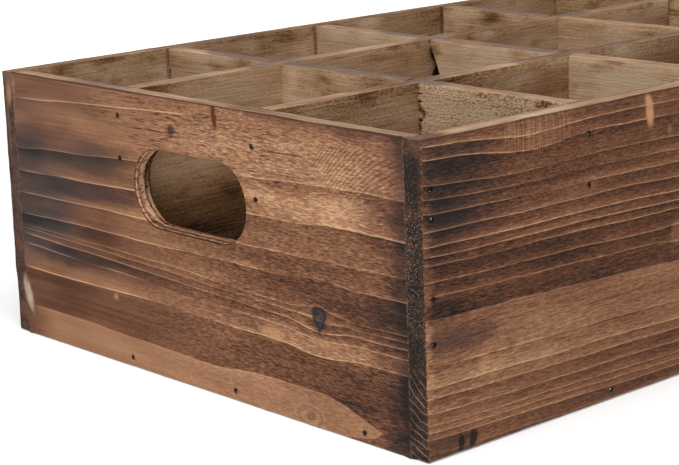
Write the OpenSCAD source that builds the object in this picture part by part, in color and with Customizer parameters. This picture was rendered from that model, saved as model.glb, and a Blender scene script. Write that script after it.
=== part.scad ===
// Divided wooden crate: four wall boards, a planked base and a halved grid of dividers, all held by brads.
// The origin is on the ground under the middle of the crate. X runs along the length, Z is up.
// "Near" is the -Y side and "left" is the -X end.

/* [Crate] */
// Outside length, over the ends of the side boards
crate_length = 395; // [360:1:430]
// Outside width, over the faces of the side boards
crate_width = 290; // [265:1:320]
// Height of the walls and of the dividers' tops
crate_height = 130; // [118:1:150]

/* [Wall boards] */
// Thickness of the two side boards
side_board_t = 9.5; // [8:0.1:12]
// Thickness of the two end boards
end_board_t = 9.5; // [8:0.1:12]
// Radius to which the outside arrises are worn
arris_r = 0.9; // [0.3:0.1:1.5]

/* [Base] */
// Thickness of the base planks, which lie inside the walls
base_t = 9.5; // [7:0.1:12]
// Gap between two planks
plank_gap = 1.5; // [0.5:0.1:4]
// Radius of the planks' top arrises
plank_arris_r = 0.6; // [0.2:0.1:1.2]

/* [Divider grid] */
// Thickness of every divider
divider_t = 9.5; // [6:0.1:12]
// Free play of a slot over the divider that it takes
slot_play = 0.3; // [0.1:0.05:0.8]
// Radius of the dividers' top arrises
divider_arris_r = 0.5; // [0.2:0.1:1.2]
// How far the near and the far long divider stand from even spacing, towards the far side
long_divider_offsets = [4.6, 4.8]; // [-6:0.1:6]
// How far cross dividers 1 to 3 stand from even spacing, towards the right end
cross_divider_offsets = [-2.5, 0.8, 1]; // [-6:0.1:6]

/* [Hand holes] */
// How much shorter a hand hole is than the width of the cell behind it
hand_hole_margin = 6; // [3:0.5:16]
// Height of a hand hole
hand_hole_h = 35.5; // [28:0.5:40]
// From the rim down to the middle of a hand hole
hand_hole_drop = 42.5; // [36:0.5:50]
// How far the hand holes stand from the middle, towards the far side
hand_hole_offset = 1.5; // [-4:0.1:4]
// Radius of the routed rim round a hand hole, on both faces of the board
hand_hole_rim_r = 1.5; // [0.5:0.1:3]

/* [Brads] */
// Length of a brad
brad_length = 25; // [20:1:32]
// Diameter of a brad's shank
brad_d = 1.2; // [1:0.05:1.6]
// Diameter of a brad's head
brad_head_d = 1.9; // [1.7:0.05:2.4]
// Thickness of a brad's head
brad_head_t = 0.7; // [0.4:0.1:1.2]
// Length of a brad's point
brad_point = 1.6; // [1:0.1:3]
// How deep the heads are set below the surface
brad_set = 0.5; // [0.2:0.1:1]
// Clearance round a brad in its hole
brad_clearance = 0.05; // [0.02:0.01:0.12]

/* [Hidden] */
$fn = 48;

// How far a cutter runs past the surface that it cuts
overrun = 1;

// Outer faces of the left end and of the near side
left_x = -crate_length / 2;
near_y = -crate_width / 2;
// Room inside the four walls
inside_length = crate_length - 2 * end_board_t;
inside_width = crate_width - 2 * side_board_t;

// Three planks share the width with two gaps
plank_count = 3;
plank_w = (inside_width - (plank_count - 1) * plank_gap) / plank_count;

// The grid has three cells across and four along
long_divider_count = 2;
cross_divider_count = 3;
cell_width = (inside_width - long_divider_count * divider_t) / (long_divider_count + 1);
cell_length = (inside_length - cross_divider_count * divider_t) / (cross_divider_count + 1);
divider_depth = crate_height - base_t;
slot_w = divider_t + slot_play;
// Long and cross dividers are each slotted to half their depth and meet here
halving_z = base_t + divider_depth / 2;

hand_hole_z = crate_height - hand_hole_drop;
hand_hole_w = cell_width - hand_hole_margin;
hand_hole_r = hand_hole_h / 2;
hand_hole_straight = hand_hole_w - hand_hole_h;

// Heights of the four brads in a corner, as shares of the walls' height
corner_brad_shares = [0.37, 0.51, 0.755, 0.845];
// For each long divider, near one first, its two brads: share of the height, and share of the
// divider's thickness towards the far side
end_divider_brad_shares = [[[0.712, -0.3], [0.885, -0.18]], [[0.757, -0.12], [0.908, -0.12]]];
// For each cross divider its two brads: share of the height, and share of the divider's thickness
// towards the right end
side_divider_brad_shares = [
    [[0.741, -0.3], [0.907, -0.31]],
    [[0.73, 0.12], [0.89, -0.1]],
    [[0.75, -0.15], [0.9, 0.1]]
];
// For each plank, near one first, the place of its brads in the ends, as a share of the plank's width
// from its middle
end_base_brad_shares = [-0.196, -0.287, -0.465];
// Places of the brads through a side board into its plank, as shares of the length
side_base_brad_shares = [0.276, 0.5, 0.724];

wall_colour = "#8a6244";
end_colour = "#96694a";
divider_colour = "#a5825f";
base_colour = "#a88a68";
brad_colour = "#4a4440";

function plank_y(i) = (i - (plank_count - 1) / 2) * (plank_w + plank_gap);
function long_divider_y(i) =
    (i - (long_divider_count - 1) / 2) * (cell_width + divider_t) + long_divider_offsets[i];
function cross_divider_x(i) =
    (i - (cross_divider_count - 1) / 2) * (cell_length + divider_t) + cross_divider_offsets[i];

// What is cut away to round one corner of an outline. The corner is at the origin and the outline
// lies in the first quadrant.
module corner_waste(r) {
    difference() {
        translate([-overrun, -overrun]) square(r + overrun);
        translate([r, r]) circle(r);
    }
}

// A rectangle from the origin, with its two upper corners rounded
module top_rounded(w, h, r) {
    difference() {
        square([w, h]);
        translate([0, h]) rotate(-90) corner_waste(r);
        translate([w, h]) rotate(180) corner_waste(r);
    }
}

// A rectangle from the origin, with its two lower corners rounded
module bottom_rounded(w, h, r) {
    difference() {
        square([w, h]);
        corner_waste(r);
        translate([w, 0]) rotate(90) corner_waste(r);
    }
}

// A board standing on edge along X, from x = 0, with its thickness in +Y and its top arrises rounded
module board_on_edge(length, thickness, height, r) {
    rotate([90, 0, 90]) linear_extrude(length) top_rounded(thickness, height, r);
}

// Puts a brad's axis through the near side's outer face, pointing inwards
module on_near_side(x, z) {
    translate([x, near_y, z]) rotate([-90, 0, 0]) children();
}

// Puts a brad's axis through the left end's outer face, pointing inwards
module on_left_end(y, z) {
    translate([left_x, y, z]) rotate([0, 90, 0]) children();
}

module both_ends() {
    children();
    mirror([1, 0, 0]) children();
}

module both_sides() {
    children();
    mirror([0, 1, 0]) children();
}

// Brads of the near left corner
module at_corner_brads() {
    for (share = corner_brad_shares)
        on_near_side(left_x + end_board_t / 2, share * crate_height) children();
}

// Brads through the left end into the long dividers, or into one of them
module at_end_divider_brads() {
    for (i = [0 : long_divider_count - 1])
        for (place = end_divider_brad_shares[i])
            on_left_end(long_divider_y(i) + place[1] * divider_t, place[0] * crate_height) children();
}

// Brads through the near side into the cross dividers
module at_side_divider_brads() {
    for (i = [0 : cross_divider_count - 1])
        for (place = side_divider_brad_shares[i])
            on_near_side(cross_divider_x(i) + place[1] * divider_t, place[0] * crate_height) children();
}

// Brads through the left end into the base planks
module at_end_base_brads() {
    for (i = [0 : plank_count - 1])
        on_left_end(plank_y(i) + end_base_brad_shares[i] * plank_w, base_t / 2) children();
}

// Brads through the near side into the near plank
module at_side_base_brads() {
    for (share = side_base_brad_shares)
        on_near_side(left_x + share * crate_length, base_t / 2) children();
}

// Half the outline of a brad, grown by the clearance; its axis is x = 0 and its head's top is at y = 0
module brad_outline(grown) {
    polygon([
        [0, 0],
        [brad_head_d / 2 + grown, 0],
        [brad_head_d / 2 + grown, brad_head_t + grown],
        [brad_d / 2 + grown, brad_head_t + grown],
        [brad_d / 2 + grown, brad_length - brad_point],
        [0, brad_length + grown]
    ]);
}

// A brad, driven along +Z from the surface at z = 0
module brad() {
    translate([0, 0, brad_set]) rotate_extrude() brad_outline(0);
}

// The hole that a brad leaves, open at the surface
module brad_hole() {
    translate([0, 0, brad_set]) rotate_extrude() brad_outline(brad_clearance);
    translate([0, 0, -overrun]) cylinder(h = brad_set + overrun, d = brad_head_d + 2 * brad_clearance);
}

// The part of a hand hole's edge that is routed away, in section: the wall of the hole is at x = 0,
// the board's face at y = 0 and the board's wood below it
module rim_waste() {
    difference() {
        translate([-overrun, -hand_hole_rim_r]) square([hand_hole_rim_r + overrun, hand_hole_rim_r + overrun]);
        translate([hand_hole_rim_r, -hand_hole_rim_r]) circle(hand_hole_rim_r);
    }
}

// The routed rim of a hand hole, in the plane z = 0, with the hole's length along X
module rim_cutter() {
    both_ends()
        translate([hand_hole_straight / 2, 0, 0])
            rotate(-90) rotate_extrude(angle = 180) translate([hand_hole_r, 0]) rim_waste();
    both_sides()
        translate([-hand_hole_straight / 2, hand_hole_r, 0])
            rotate([90, 0, 90]) linear_extrude(hand_hole_straight) rim_waste();
}

// A hand hole with its length along X, through a board that lies from z = -end_board_t to z = 0
module hand_hole_cutter() {
    depth = end_board_t + 2 * overrun;
    translate([0, 0, -end_board_t - overrun]) {
        both_ends() translate([hand_hole_straight / 2, 0, 0]) cylinder(h = depth, r = hand_hole_r);
        translate([-hand_hole_straight / 2, -hand_hole_r, 0]) cube([hand_hole_straight, hand_hole_h, depth]);
    }
    rim_cutter();
    translate([0, 0, -end_board_t]) mirror([0, 0, 1]) rim_cutter();
}

// A side board in its place on the near side
module side_board() {
    color(wall_colour)
    difference() {
        intersection() {
            translate([left_x, near_y, 0]) board_on_edge(crate_length, side_board_t, crate_height, arris_r);
            translate([left_x, near_y, 0]) linear_extrude(crate_height)
                bottom_rounded(crate_length, side_board_t, arris_r);
        }
        both_ends() at_corner_brads() brad_hole();
        at_side_divider_brads() brad_hole();
        at_side_base_brads() brad_hole();
    }
}

// An end board in its place at the left end
module end_board() {
    color(end_colour)
    difference() {
        translate([left_x + end_board_t, -inside_width / 2, 0])
            rotate(90) board_on_edge(inside_width, end_board_t, crate_height, arris_r);
        translate([left_x, hand_hole_offset, hand_hole_z]) rotate([0, -90, 0]) rotate(90) hand_hole_cutter();
        both_sides() at_corner_brads() brad_hole();
        at_end_divider_brads() brad_hole();
        at_end_base_brads() brad_hole();
    }
}

// A base plank between the end boards
module base_plank(i) {
    color(base_colour)
    difference() {
        translate([-inside_length / 2, plank_y(i) - plank_w / 2, 0])
            board_on_edge(inside_length, plank_w, base_t, plank_arris_r);
        both_ends() at_end_base_brads() brad_hole();
        both_sides() at_side_base_brads() brad_hole();
    }
}

// A long divider, slotted from below over the cross dividers
module long_divider(i) {
    color(divider_colour)
    difference() {
        translate([-inside_length / 2, long_divider_y(i) - divider_t / 2, base_t])
            board_on_edge(inside_length, divider_t, divider_depth, divider_arris_r);
        for (k = [0 : cross_divider_count - 1])
            translate([cross_divider_x(k) - slot_w / 2, long_divider_y(i) - divider_t, base_t - overrun])
                cube([slot_w, 2 * divider_t, halving_z - base_t + slot_play / 2 + overrun]);
        both_ends() at_end_divider_brads() brad_hole();
    }
}

// A cross divider, slotted from above for the long dividers
module cross_divider(i) {
    color(divider_colour)
    difference() {
        translate([cross_divider_x(i) + divider_t / 2, -inside_width / 2, base_t])
            rotate(90) board_on_edge(inside_width, divider_t, divider_depth, divider_arris_r);
        for (k = [0 : long_divider_count - 1])
            translate([cross_divider_x(i) - divider_t, long_divider_y(k) - slot_w / 2, halving_z - slot_play / 2])
                cube([2 * divider_t, slot_w, crate_height - halving_z + slot_play / 2 + overrun]);
        both_sides() at_side_divider_brads() brad_hole();
    }
}

module near_side_board() { side_board(); }
module far_side_board() { mirror([0, 1, 0]) side_board(); }
module left_end_board() { end_board(); }
module right_end_board() { mirror([1, 0, 0]) end_board(); }
module base_plank_near() { base_plank(0); }
module base_plank_middle() { base_plank(1); }
module base_plank_far() { base_plank(2); }
module long_divider_near() { long_divider(0); }
module long_divider_far() { long_divider(1); }
module cross_divider_1() { cross_divider(0); }
module cross_divider_2() { cross_divider(1); }
module cross_divider_3() { cross_divider(2); }
module near_left_corner_brads() { color(brad_colour) at_corner_brads() brad(); }
module near_right_corner_brads() { mirror([1, 0, 0]) near_left_corner_brads(); }
module far_left_corner_brads() { mirror([0, 1, 0]) near_left_corner_brads(); }
module far_right_corner_brads() { mirror([0, 1, 0]) near_right_corner_brads(); }
module left_end_divider_brads() { color(brad_colour) at_end_divider_brads() brad(); }
module right_end_divider_brads() { mirror([1, 0, 0]) left_end_divider_brads(); }
module near_side_divider_brads() { color(brad_colour) at_side_divider_brads() brad(); }
module far_side_divider_brads() { mirror([0, 1, 0]) near_side_divider_brads(); }
module left_end_base_brads() { color(brad_colour) at_end_base_brads() brad(); }
module right_end_base_brads() { mirror([1, 0, 0]) left_end_base_brads(); }
module near_side_base_brads() { color(brad_colour) at_side_base_brads() brad(); }
module far_side_base_brads() { mirror([0, 1, 0]) near_side_base_brads(); }

near_side_board();
far_side_board();
left_end_board();
right_end_board();
base_plank_near();
base_plank_middle();
base_plank_far();
long_divider_near();
long_divider_far();
cross_divider_1();
cross_divider_2();
cross_divider_3();
near_left_corner_brads();
near_right_corner_brads();
far_left_corner_brads();
far_right_corner_brads();
left_end_divider_brads();
right_end_divider_brads();
near_side_divider_brads();
far_side_divider_brads();
left_end_base_brads();
right_end_base_brads();
near_side_base_brads();
far_side_base_brads();
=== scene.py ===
"""A low crate of scorched softwood with a grid of dividers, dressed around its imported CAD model.

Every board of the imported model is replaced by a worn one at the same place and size. The brads stay
as packed and get a finish. Lengths are in metres, and the shaders work in millimetres along the
grain, across it and in from a board's outer face.
"""

import math
from collections import namedtuple

import bmesh
import bpy
from bpy.props import FloatProperty, FloatVectorProperty, PointerProperty
from mathutils import Matrix, Vector


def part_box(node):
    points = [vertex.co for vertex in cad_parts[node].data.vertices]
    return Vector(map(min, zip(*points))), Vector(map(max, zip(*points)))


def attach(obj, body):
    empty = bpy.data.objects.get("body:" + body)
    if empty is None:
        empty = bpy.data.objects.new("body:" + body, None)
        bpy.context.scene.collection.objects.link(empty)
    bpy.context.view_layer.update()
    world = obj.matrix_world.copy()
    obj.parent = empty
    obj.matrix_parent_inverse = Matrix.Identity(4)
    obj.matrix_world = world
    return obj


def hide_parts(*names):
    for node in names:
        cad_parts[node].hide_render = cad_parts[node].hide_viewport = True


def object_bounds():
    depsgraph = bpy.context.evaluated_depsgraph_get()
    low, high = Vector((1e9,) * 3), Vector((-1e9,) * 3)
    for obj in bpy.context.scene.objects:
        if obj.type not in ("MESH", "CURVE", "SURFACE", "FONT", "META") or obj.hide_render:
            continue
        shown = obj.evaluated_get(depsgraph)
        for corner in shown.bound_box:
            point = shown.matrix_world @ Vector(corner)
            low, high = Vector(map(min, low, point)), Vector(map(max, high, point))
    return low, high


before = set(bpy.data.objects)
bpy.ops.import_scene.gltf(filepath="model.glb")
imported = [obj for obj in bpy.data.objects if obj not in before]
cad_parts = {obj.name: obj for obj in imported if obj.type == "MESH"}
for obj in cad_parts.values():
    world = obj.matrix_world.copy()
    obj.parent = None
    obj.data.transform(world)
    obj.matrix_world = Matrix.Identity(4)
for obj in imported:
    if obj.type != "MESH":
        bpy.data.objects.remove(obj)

bl_info = {
    "name": "Scorched Divider Crate",
    "version": (1, 0, 0),
    "blender": (4, 5, 0),
    "location": "3D View > Sidebar > Crate",
    "description": "Dresses the packed crate in worn, scorched softwood boards and sets its stage",
    "category": "Object",
}

CAD_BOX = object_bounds()
LOW, HIGH = CAD_BOX
MM = 0.001
BODY = "root"
# Points of a mesh that are closer than this are one point
SAME_POINT = 0.00001
# How far a cutter reaches past the faces that it cuts through
OVERSHOOT = 2 * MM
# The deepest that a brad's head can lie below a wall's face
DEEPEST_HEAD = 2 * MM
# Faces that meet at a smaller angle than this are shaded as one curved face
SMOOTH_ANGLE = math.radians(34)
# The reach of the soft light on the floor, in millimetres from the crate's middle
FLOOR_FADE = (300.0, 1100.0)
# The floor's shade in its faint clouds, and the light that it gives far from the crate
FLOOR_CLOUD = 240
FAR_GLOW = 0.8
# Heights of the notches torn in the first cross divider, in millimetres
NOTCH_HEIGHTS = (125, 121.5, 117.5, 113, 109.5, 105)
# The top of the curves that the tongue's outline is read from, in millimetres
TONGUE_TOP = 20.0

NEAR_SIDE = "near_side_board"
FAR_SIDE = "far_side_board"
LEFT_END = "left_end_board"
RIGHT_END = "right_end_board"
PLANKS = ("base_plank_near", "base_plank_middle", "base_plank_far")
LONG_DIVIDERS = ("long_divider_near", "long_divider_far")
CROSS_DIVIDERS = ("cross_divider_1", "cross_divider_2", "cross_divider_3")
BRAD_NODES = tuple(name for name in sorted(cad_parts) if name.endswith("brads"))


def shade(red, green, blue):
    """A colour as a screen shows it, 0 to 255, in the linear values that shaders take"""

    def linear(part):
        part = part / 255
        return part / 12.92 if part <= 0.04045 else ((part + 0.055) / 1.055) ** 2.4

    return (linear(red), linear(green), linear(blue))


def length_property(name, description, default, low=0.0):
    """A length in metres, with its default given in millimetres"""
    return FloatProperty(
        name=name,
        description=description,
        default=default * MM,
        min=low * MM,
        unit="LENGTH",
        precision=4,
    )


def colour_property(name, description, *screen):
    """A finish's colour, given as a screen shows it"""
    return FloatVectorProperty(
        name=name,
        description=description,
        default=shade(*screen),
        subtype="COLOR",
        min=0.0,
        max=1.0,
    )


class CrateSizes(bpy.types.PropertyGroup):
    """Sizes of the wear and of the cuts that the worn boards get"""

    arris: length_property("Arris", "Rounding of a board's edges", 0.9, 0.1)
    net_along: length_property("Net along", "Face length along the grain", 4.0, 1.0)
    net_across: length_property("Net across", "Face width across the grain", 2.7, 1.0)
    arris_wear: length_property("Arris wear", "Deepest wear of an edge", 0.7)
    wear_patch: length_property("Wear patch", "Size of one worn patch", 14.0, 1.0)
    slot_play: length_property("Slot play", "Play of a divider in its slot", 0.3)
    brad_pit: length_property("Brad pit", "Width of the pit over a brad's head", 2.3)
    hole_ridge: length_property("Hole ridge", "Depth of the ridges in a hand hole", 0.45)
    hole_rim: length_property("Hole rim", "Rounding of a hand hole's rim", 1.5)
    tear: length_property("Tear", "Size of one torn notch at a slot", 2.2)


class CrateColours(bpy.types.PropertyGroup):
    """Colours of the wood, from bare to charred, and of the metal"""

    pale: colour_property("Pale", "Brushed pale growth lines", 206, 166, 128)
    tan: colour_property("Tan", "Lightly toasted wood", 177, 133, 99)
    orange: colour_property("Orange brown", "Toasted wood", 152, 108, 80)
    brown: colour_property("Brown", "Browned wood", 126, 86, 62)
    umber: colour_property("Umber", "Dark burnt wood", 97, 62, 44)
    dark: colour_property("Dark", "Nearly charred wood", 69, 47, 36)
    char: colour_property("Char", "Charred wood", 38, 31, 28)
    soot_light: colour_property("Light soot", "Smoked wood", 118, 93, 82)
    soot: colour_property("Soot", "Sooty wood", 82, 68, 64)
    soot_dark: colour_property("Dark soot", "Sooty charred wood", 44, 41, 42)
    raw_light: colour_property("Raw light", "Unburnt rough wood, light", 205, 176, 146)
    raw: colour_property("Raw", "Unburnt rough wood", 174, 139, 105)
    # Raw brown and raw dark are reached by real stains and also by the painted shade low in the cells
    raw_brown: colour_property("Raw brown", "Stained rough wood", 124, 89, 58)
    raw_dark: colour_property("Raw dark", "Stained rough wood in a corner", 58, 43, 32)
    top: colour_property("Top", "Sawn top edges", 173, 141, 113)
    top_brown: colour_property("Top brown", "Toasted top edges", 134, 101, 77)
    top_grey: colour_property("Top grey", "Smoked top edges at a crossing", 116, 98, 90)
    resin: colour_property("Resin", "Resin streaks and glue lines", 92, 44, 30)
    amber: colour_property("Amber", "Pale resin spots", 201, 152, 107)
    worn: colour_property("Worn", "Spots rubbed bare", 205, 180, 156)
    knot: colour_property("Knot", "The heart of a knot", 38, 36, 41)
    # Steel is rubbed metal that also stands as the painted glint on the brad heads
    steel: colour_property("Steel", "Rubbed brad heads", 214, 204, 190)
    floor: colour_property("Floor", "The studio floor", 252, 252, 252)


class CrateStage(bpy.types.PropertyGroup):
    """The camera and the studio's light"""

    lens: FloatProperty(
        name="Lens",
        description="Focal length on a 36 mm wide sensor, in millimetres",
        default=107.27,
        unit="CAMERA",
    )
    eye: FloatVectorProperty(
        name="Eye",
        description="Where the camera stands",
        default=(-0.7196, -0.68577, 0.27421),
        subtype="TRANSLATION",
        unit="LENGTH",
    )
    heading: FloatProperty(
        name="Heading",
        description="Direction of the camera's view, turned from the crate's length",
        default=math.radians(48.428),
        subtype="ANGLE",
    )
    pitch: FloatProperty(
        name="Pitch",
        description="How far down the camera looks",
        default=math.radians(13.411),
        subtype="ANGLE",
    )
    roll: FloatProperty(
        name="Roll",
        description="How far the camera leans over",
        default=math.radians(2.034),
        subtype="ANGLE",
    )
    sky: FloatProperty(name="Sky", description="Strength of the soft white surround", default=0.3)
    glow: FloatProperty(
        name="Floor glow", description="Light given by the floor itself", default=0.2
    )
    key: FloatProperty(
        name="Key light", description="Power of the large lamp overhead", default=24.0, unit="POWER"
    )
    fill: FloatProperty(
        name="Fill light", description="Power of the lamp by the camera", default=1.0, unit="POWER"
    )


def sizes():
    """The sizes of the wear and of the cuts"""
    return bpy.context.scene.crate_sizes


def colours():
    """The colours of the wood and the metal"""
    return bpy.context.scene.crate_colours


class Signal:
    """An output of a shader node, on which maths can be written as Python expressions"""

    def __init__(self, wood, socket):
        self.wood = wood
        self.socket = socket

    def __add__(self, other):
        return self.wood.math("ADD", self, other)

    __radd__ = __add__

    def __sub__(self, other):
        return self.wood.math("SUBTRACT", self, other)

    def __rsub__(self, other):
        return self.wood.math("SUBTRACT", other, self)

    def __mul__(self, other):
        return self.wood.math("MULTIPLY", self, other)

    __rmul__ = __mul__

    def __truediv__(self, other):
        return self.wood.math("DIVIDE", self, other)

    def __abs__(self):
        return self.wood.math("ABSOLUTE", self)


def set_stops(ramp, stops):
    """Gives a colour ramp its stops, each a place from 0 to 1 and a colour"""
    while len(ramp.elements) < len(stops):
        ramp.elements.new(1.0)
    for element, (place, colour) in zip(ramp.elements, stops):
        element.position = place
        element.color = (*colour, 1.0) if len(colour) == 3 else colour


def set_points(mapping, points):
    """Gives a curve its points, joined by straight lines"""
    curve = mapping.curves[0]
    while len(curve.points) < len(points):
        curve.points.new(1.0, 1.0)
    for point, (place, value) in zip(curve.points, points):
        point.location = (place, value)
        point.handle_type = "AUTO_CLAMPED"
    mapping.update()


class Wood:
    """The shader of one board, and the marks that wood carries

    along, across and through each give an axis, the way it runs and where it starts. They set the
    signals s, h and t, in millimetres along the grain, across it, and in from the outer face.
    """

    def __init__(self, name, along, across, through):
        self.material = bpy.data.materials.new(name)
        self.material.use_nodes = True
        self.tree = self.material.node_tree
        self.tree.nodes.clear()
        self.board = (along, across, through)
        point = self.add("ShaderNodeTexCoord", output="Object")
        axes = self.parts(point)
        self.s, self.h, self.t = (
            (axes[axis] - start) * (way / MM) for axis, way, start in self.board
        )
        self.place = self.join(self.s, self.h, self.t)
        normal = self.add("ShaderNodeNewGeometry", output="Normal")
        self.facing = self.parts(normal)
        stretched = self.vector("MULTIPLY", self.place, (0.05, 0.16, 0.16))
        ragged = self.add(
            "ShaderNodeTexNoise",
            {},
            {"Vector": stretched, "Scale": 1.0, "Detail": 3.0},
            output="Color",
        )
        shift = self.vector("MULTIPLY_ADD", ragged, (16.0, 7.0, 0.0), (-8.0, -3.5, 0.0))
        self.ragged = self.vector("ADD", self.place, shift)

    def add(self, kind, settings=None, inputs=None, output=0):
        """Adds any node: its settings first, then the values or links of its sockets"""
        node = self.tree.nodes.new(kind)
        for name, value in (settings or {}).items():
            if name == "stops":
                set_stops(node.color_ramp, value)
            elif name == "ramp_mode":
                node.color_ramp.interpolation = value
            elif name == "points":
                set_points(node.mapping, value)
            else:
                setattr(node, name, value)
        for name, value in (inputs or {}).items():
            if isinstance(value, Signal):
                self.tree.links.new(value.socket, node.inputs[name])
            else:
                node.inputs[name].default_value = value
        return Signal(self, node.outputs[output]) if node.outputs else None

    def math(self, operation, *values):
        return self.add("ShaderNodeMath", {"operation": operation}, dict(enumerate(values)))

    def vector(self, operation, *values, output=0):
        return self.add(
            "ShaderNodeVectorMath", {"operation": operation}, dict(enumerate(values)), output
        )

    def join(self, x, y, z):
        return self.add("ShaderNodeCombineXYZ", {}, {0: x, 1: y, 2: z})

    def parts(self, vector):
        node = self.tree.nodes.new("ShaderNodeSeparateXYZ")
        self.tree.links.new(vector.socket, node.inputs[0])
        return [Signal(self, socket) for socket in node.outputs]

    def mix(self, share, first, second):
        """Mixes two colours, from the first at 0 to the second at 1"""
        ends = [(*end, 1.0) if isinstance(end, tuple) else end for end in (first, second)]
        return self.add(
            "ShaderNodeMix",
            {"data_type": "RGBA", "clamp_factor": True},
            {0: share, 6: ends[0], 7: ends[1]},
            output=2,
        )

    def smooth(self, value, start, end):
        """Rises smoothly from 0 to 1 as the value goes from start to end"""
        return self.add(
            "ShaderNodeMapRange",
            {"interpolation_type": "SMOOTHSTEP"},
            {"Value": value, "From Min": start, "From Max": end},
        )

    def straight(self, value, start, end):
        """Rises evenly from 0 to 1 as the value goes from start to end, and stays there"""
        return self.add(
            "ShaderNodeMapRange",
            {"clamp": True},
            {"Value": value, "From Min": start, "From Max": end},
        )

    def curve(self, value, points):
        """A curve through points from 0 to 1, clamped at its ends"""
        return self.add("ShaderNodeFloatCurve", {"points": points}, {"Value": value})

    def ramp(self, value, stops, mode="LINEAR", output=0):
        return self.add(
            "ShaderNodeValToRGB", {"ramp_mode": mode, "stops": stops}, {"Fac": value}, output
        )

    def noise(self, length, width, seed, detail=2.0, roughness=0.5):
        """Noise with marks of that length and width in millimetres, from about 0.3 to 0.7"""
        spread = self.vector(
            "MULTIPLY_ADD",
            self.place,
            (1 / length, 1 / width, 1 / width),
            (7.31 * seed, 3.17 * seed, 1.73 * seed),
        )
        return self.add(
            "ShaderNodeTexNoise",
            {},
            {"Vector": spread, "Scale": 1.0, "Detail": detail, "Roughness": roughness},
        )

    def slanted(self, angle, length, width, seed):
        """Noise whose marks lean over on the face by an angle in degrees"""
        turned = self.add(
            "ShaderNodeVectorRotate",
            {"rotation_type": "Z_AXIS"},
            {"Vector": self.place, "Angle": -math.radians(angle)},
        )
        spread = self.vector(
            "MULTIPLY_ADD",
            turned,
            (1 / length, 1 / width, 1 / width),
            (seed, 2.0 * seed, 3.0 * seed),
        )
        return self.add("ShaderNodeTexNoise", {}, {"Vector": spread, "Scale": 1.0, "Detail": 2.0})

    def spot(self, s, h, reach_s, reach_h, core=0.0, ragged=True):
        """1 at a place on the face, fading to 0 at its reach along and across the grain"""
        offset = self.vector(
            "MULTIPLY_ADD",
            self.ragged if ragged else self.place,
            (1 / reach_s, 1 / reach_h, 0.0),
            (-s / reach_s, -h / reach_h, 0.0),
        )
        return self.smooth(self.vector("LENGTH", offset, output=1), 1.0, core)

    def blotch(self, run, place, h, reach, reach_h, lean, core):
        """A spot with an uneven edge whose middle moves along run by lean for each step up"""
        uneven = self.noise(4.0, 4.0, place + h, detail=2.0) - 0.5
        away = (run - place - (self.h - h) * lean) / reach
        away_h = (self.h - h) / reach_h
        distance = self.vector("LENGTH", self.join(away, away_h, 0.0), output=1)
        return self.smooth(distance + uneven * 0.5, 1.0, core)

    def saw_arcs(self, s, h, angle, spacing, bend, seed):
        """The arcs of a round saw, from -1 to 1, through a place and at an angle to the grain"""
        slant = math.radians(angle)
        away = self.s - s
        across = (self.h - h) * math.cos(slant) - away * math.sin(slant) + away * away * bend
        uneven = self.noise(9, 3, seed, detail=1.0) * 5.0
        return self.math("SINE", across * (2 * math.pi / spacing) + uneven)

    def stripe(self, value, middle, half_width):
        """1 in the middle of a stripe, 0 past its half width"""
        return self.smooth(abs(value - middle), half_width, half_width * 0.4)

    def facing_way(self, axis, way):
        """1 where the surface faces an axis's way"""
        return self.smooth(self.facing[axis] * way, 0.55, 0.85)

    def finish(self, colour, height_mm, roughness, specular=0.07, metallic=0.0):
        """Ends the shader: colour, a relief in millimetres, and roughness"""
        relief = self.add(
            "ShaderNodeBump", {}, {"Strength": 1.0, "Distance": MM, "Height": height_mm}
        )
        shader = self.add(
            "ShaderNodeBsdfPrincipled",
            {},
            {
                "Base Color": colour,
                "Roughness": roughness,
                "Metallic": metallic,
                "Specular IOR Level": specular,
                "Normal": relief,
            },
        )
        self.add("ShaderNodeOutputMaterial", {}, {"Surface": shader})
        return self.material


def growth_rings(wood, level, rings):
    """Which growth ring a level is in

    rings lists, from the foot up, the level where a ring begins, the strength of the pale line
    there, and how burnt the wood is just above the line and at the ring's top. Gives the line's
    strength, the burn, and the distance above the line in millimetres.
    """
    count = len(rings) - 1
    number = wood.straight(level, rings[0][0], rings[1][0])
    for ring, following in zip(rings[1:], rings[2:]):
        number = number + wood.straight(level, ring[0], following[0])
    index = wood.math("MINIMUM", wood.math("FLOOR", number), count - 1)
    share = number - index
    place = (index + 0.5) / count
    widths = [following[0] - ring[0] for ring, following in zip(rings, rings[1:])]
    widest = max(widths)
    stops = [
        (step / count, (line, low, high, width / widest))
        for step, ((_, line, low, high), width) in enumerate(zip(rings, widths))
    ]
    line, low, high = wood.parts(wood.ramp(place, stops, "CONSTANT"))
    above = share * widest * wood.ramp(place, stops, "CONSTANT", output=1)
    return line, low + (high - low) * share * share, above


def burnt_colour(wood, burn, soot):
    """The wood's colour, from pale at 0 to charred at 1, and greyer where there is soot"""
    paint = colours()
    warm = wood.ramp(
        burn,
        [
            (0.0, paint.pale),
            (0.18, paint.tan),
            (0.35, paint.orange),
            (0.53, paint.brown),
            (0.72, paint.umber),
            (0.87, paint.dark),
            (1.0, paint.char),
        ],
    )
    cool = wood.ramp(
        burn,
        [
            (0.0, paint.worn),
            (0.5, paint.soot_light),
            (0.75, paint.soot),
            (1.0, paint.soot_dark),
        ],
    )
    return wood.mix(soot, warm, cool)


def knot_lift(wood, knot):
    """How far the grain parts round a knot, in millimetres"""
    away = wood.h - knot.h
    near = wood.smooth(abs(wood.s - knot.s), knot.reach, 0.0)
    fall = wood.smooth(abs(away), 1.2 * knot.reach, 0.0)
    return near * away * fall * knot.lift * 1.3 / (abs(away) + 8.0)


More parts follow.
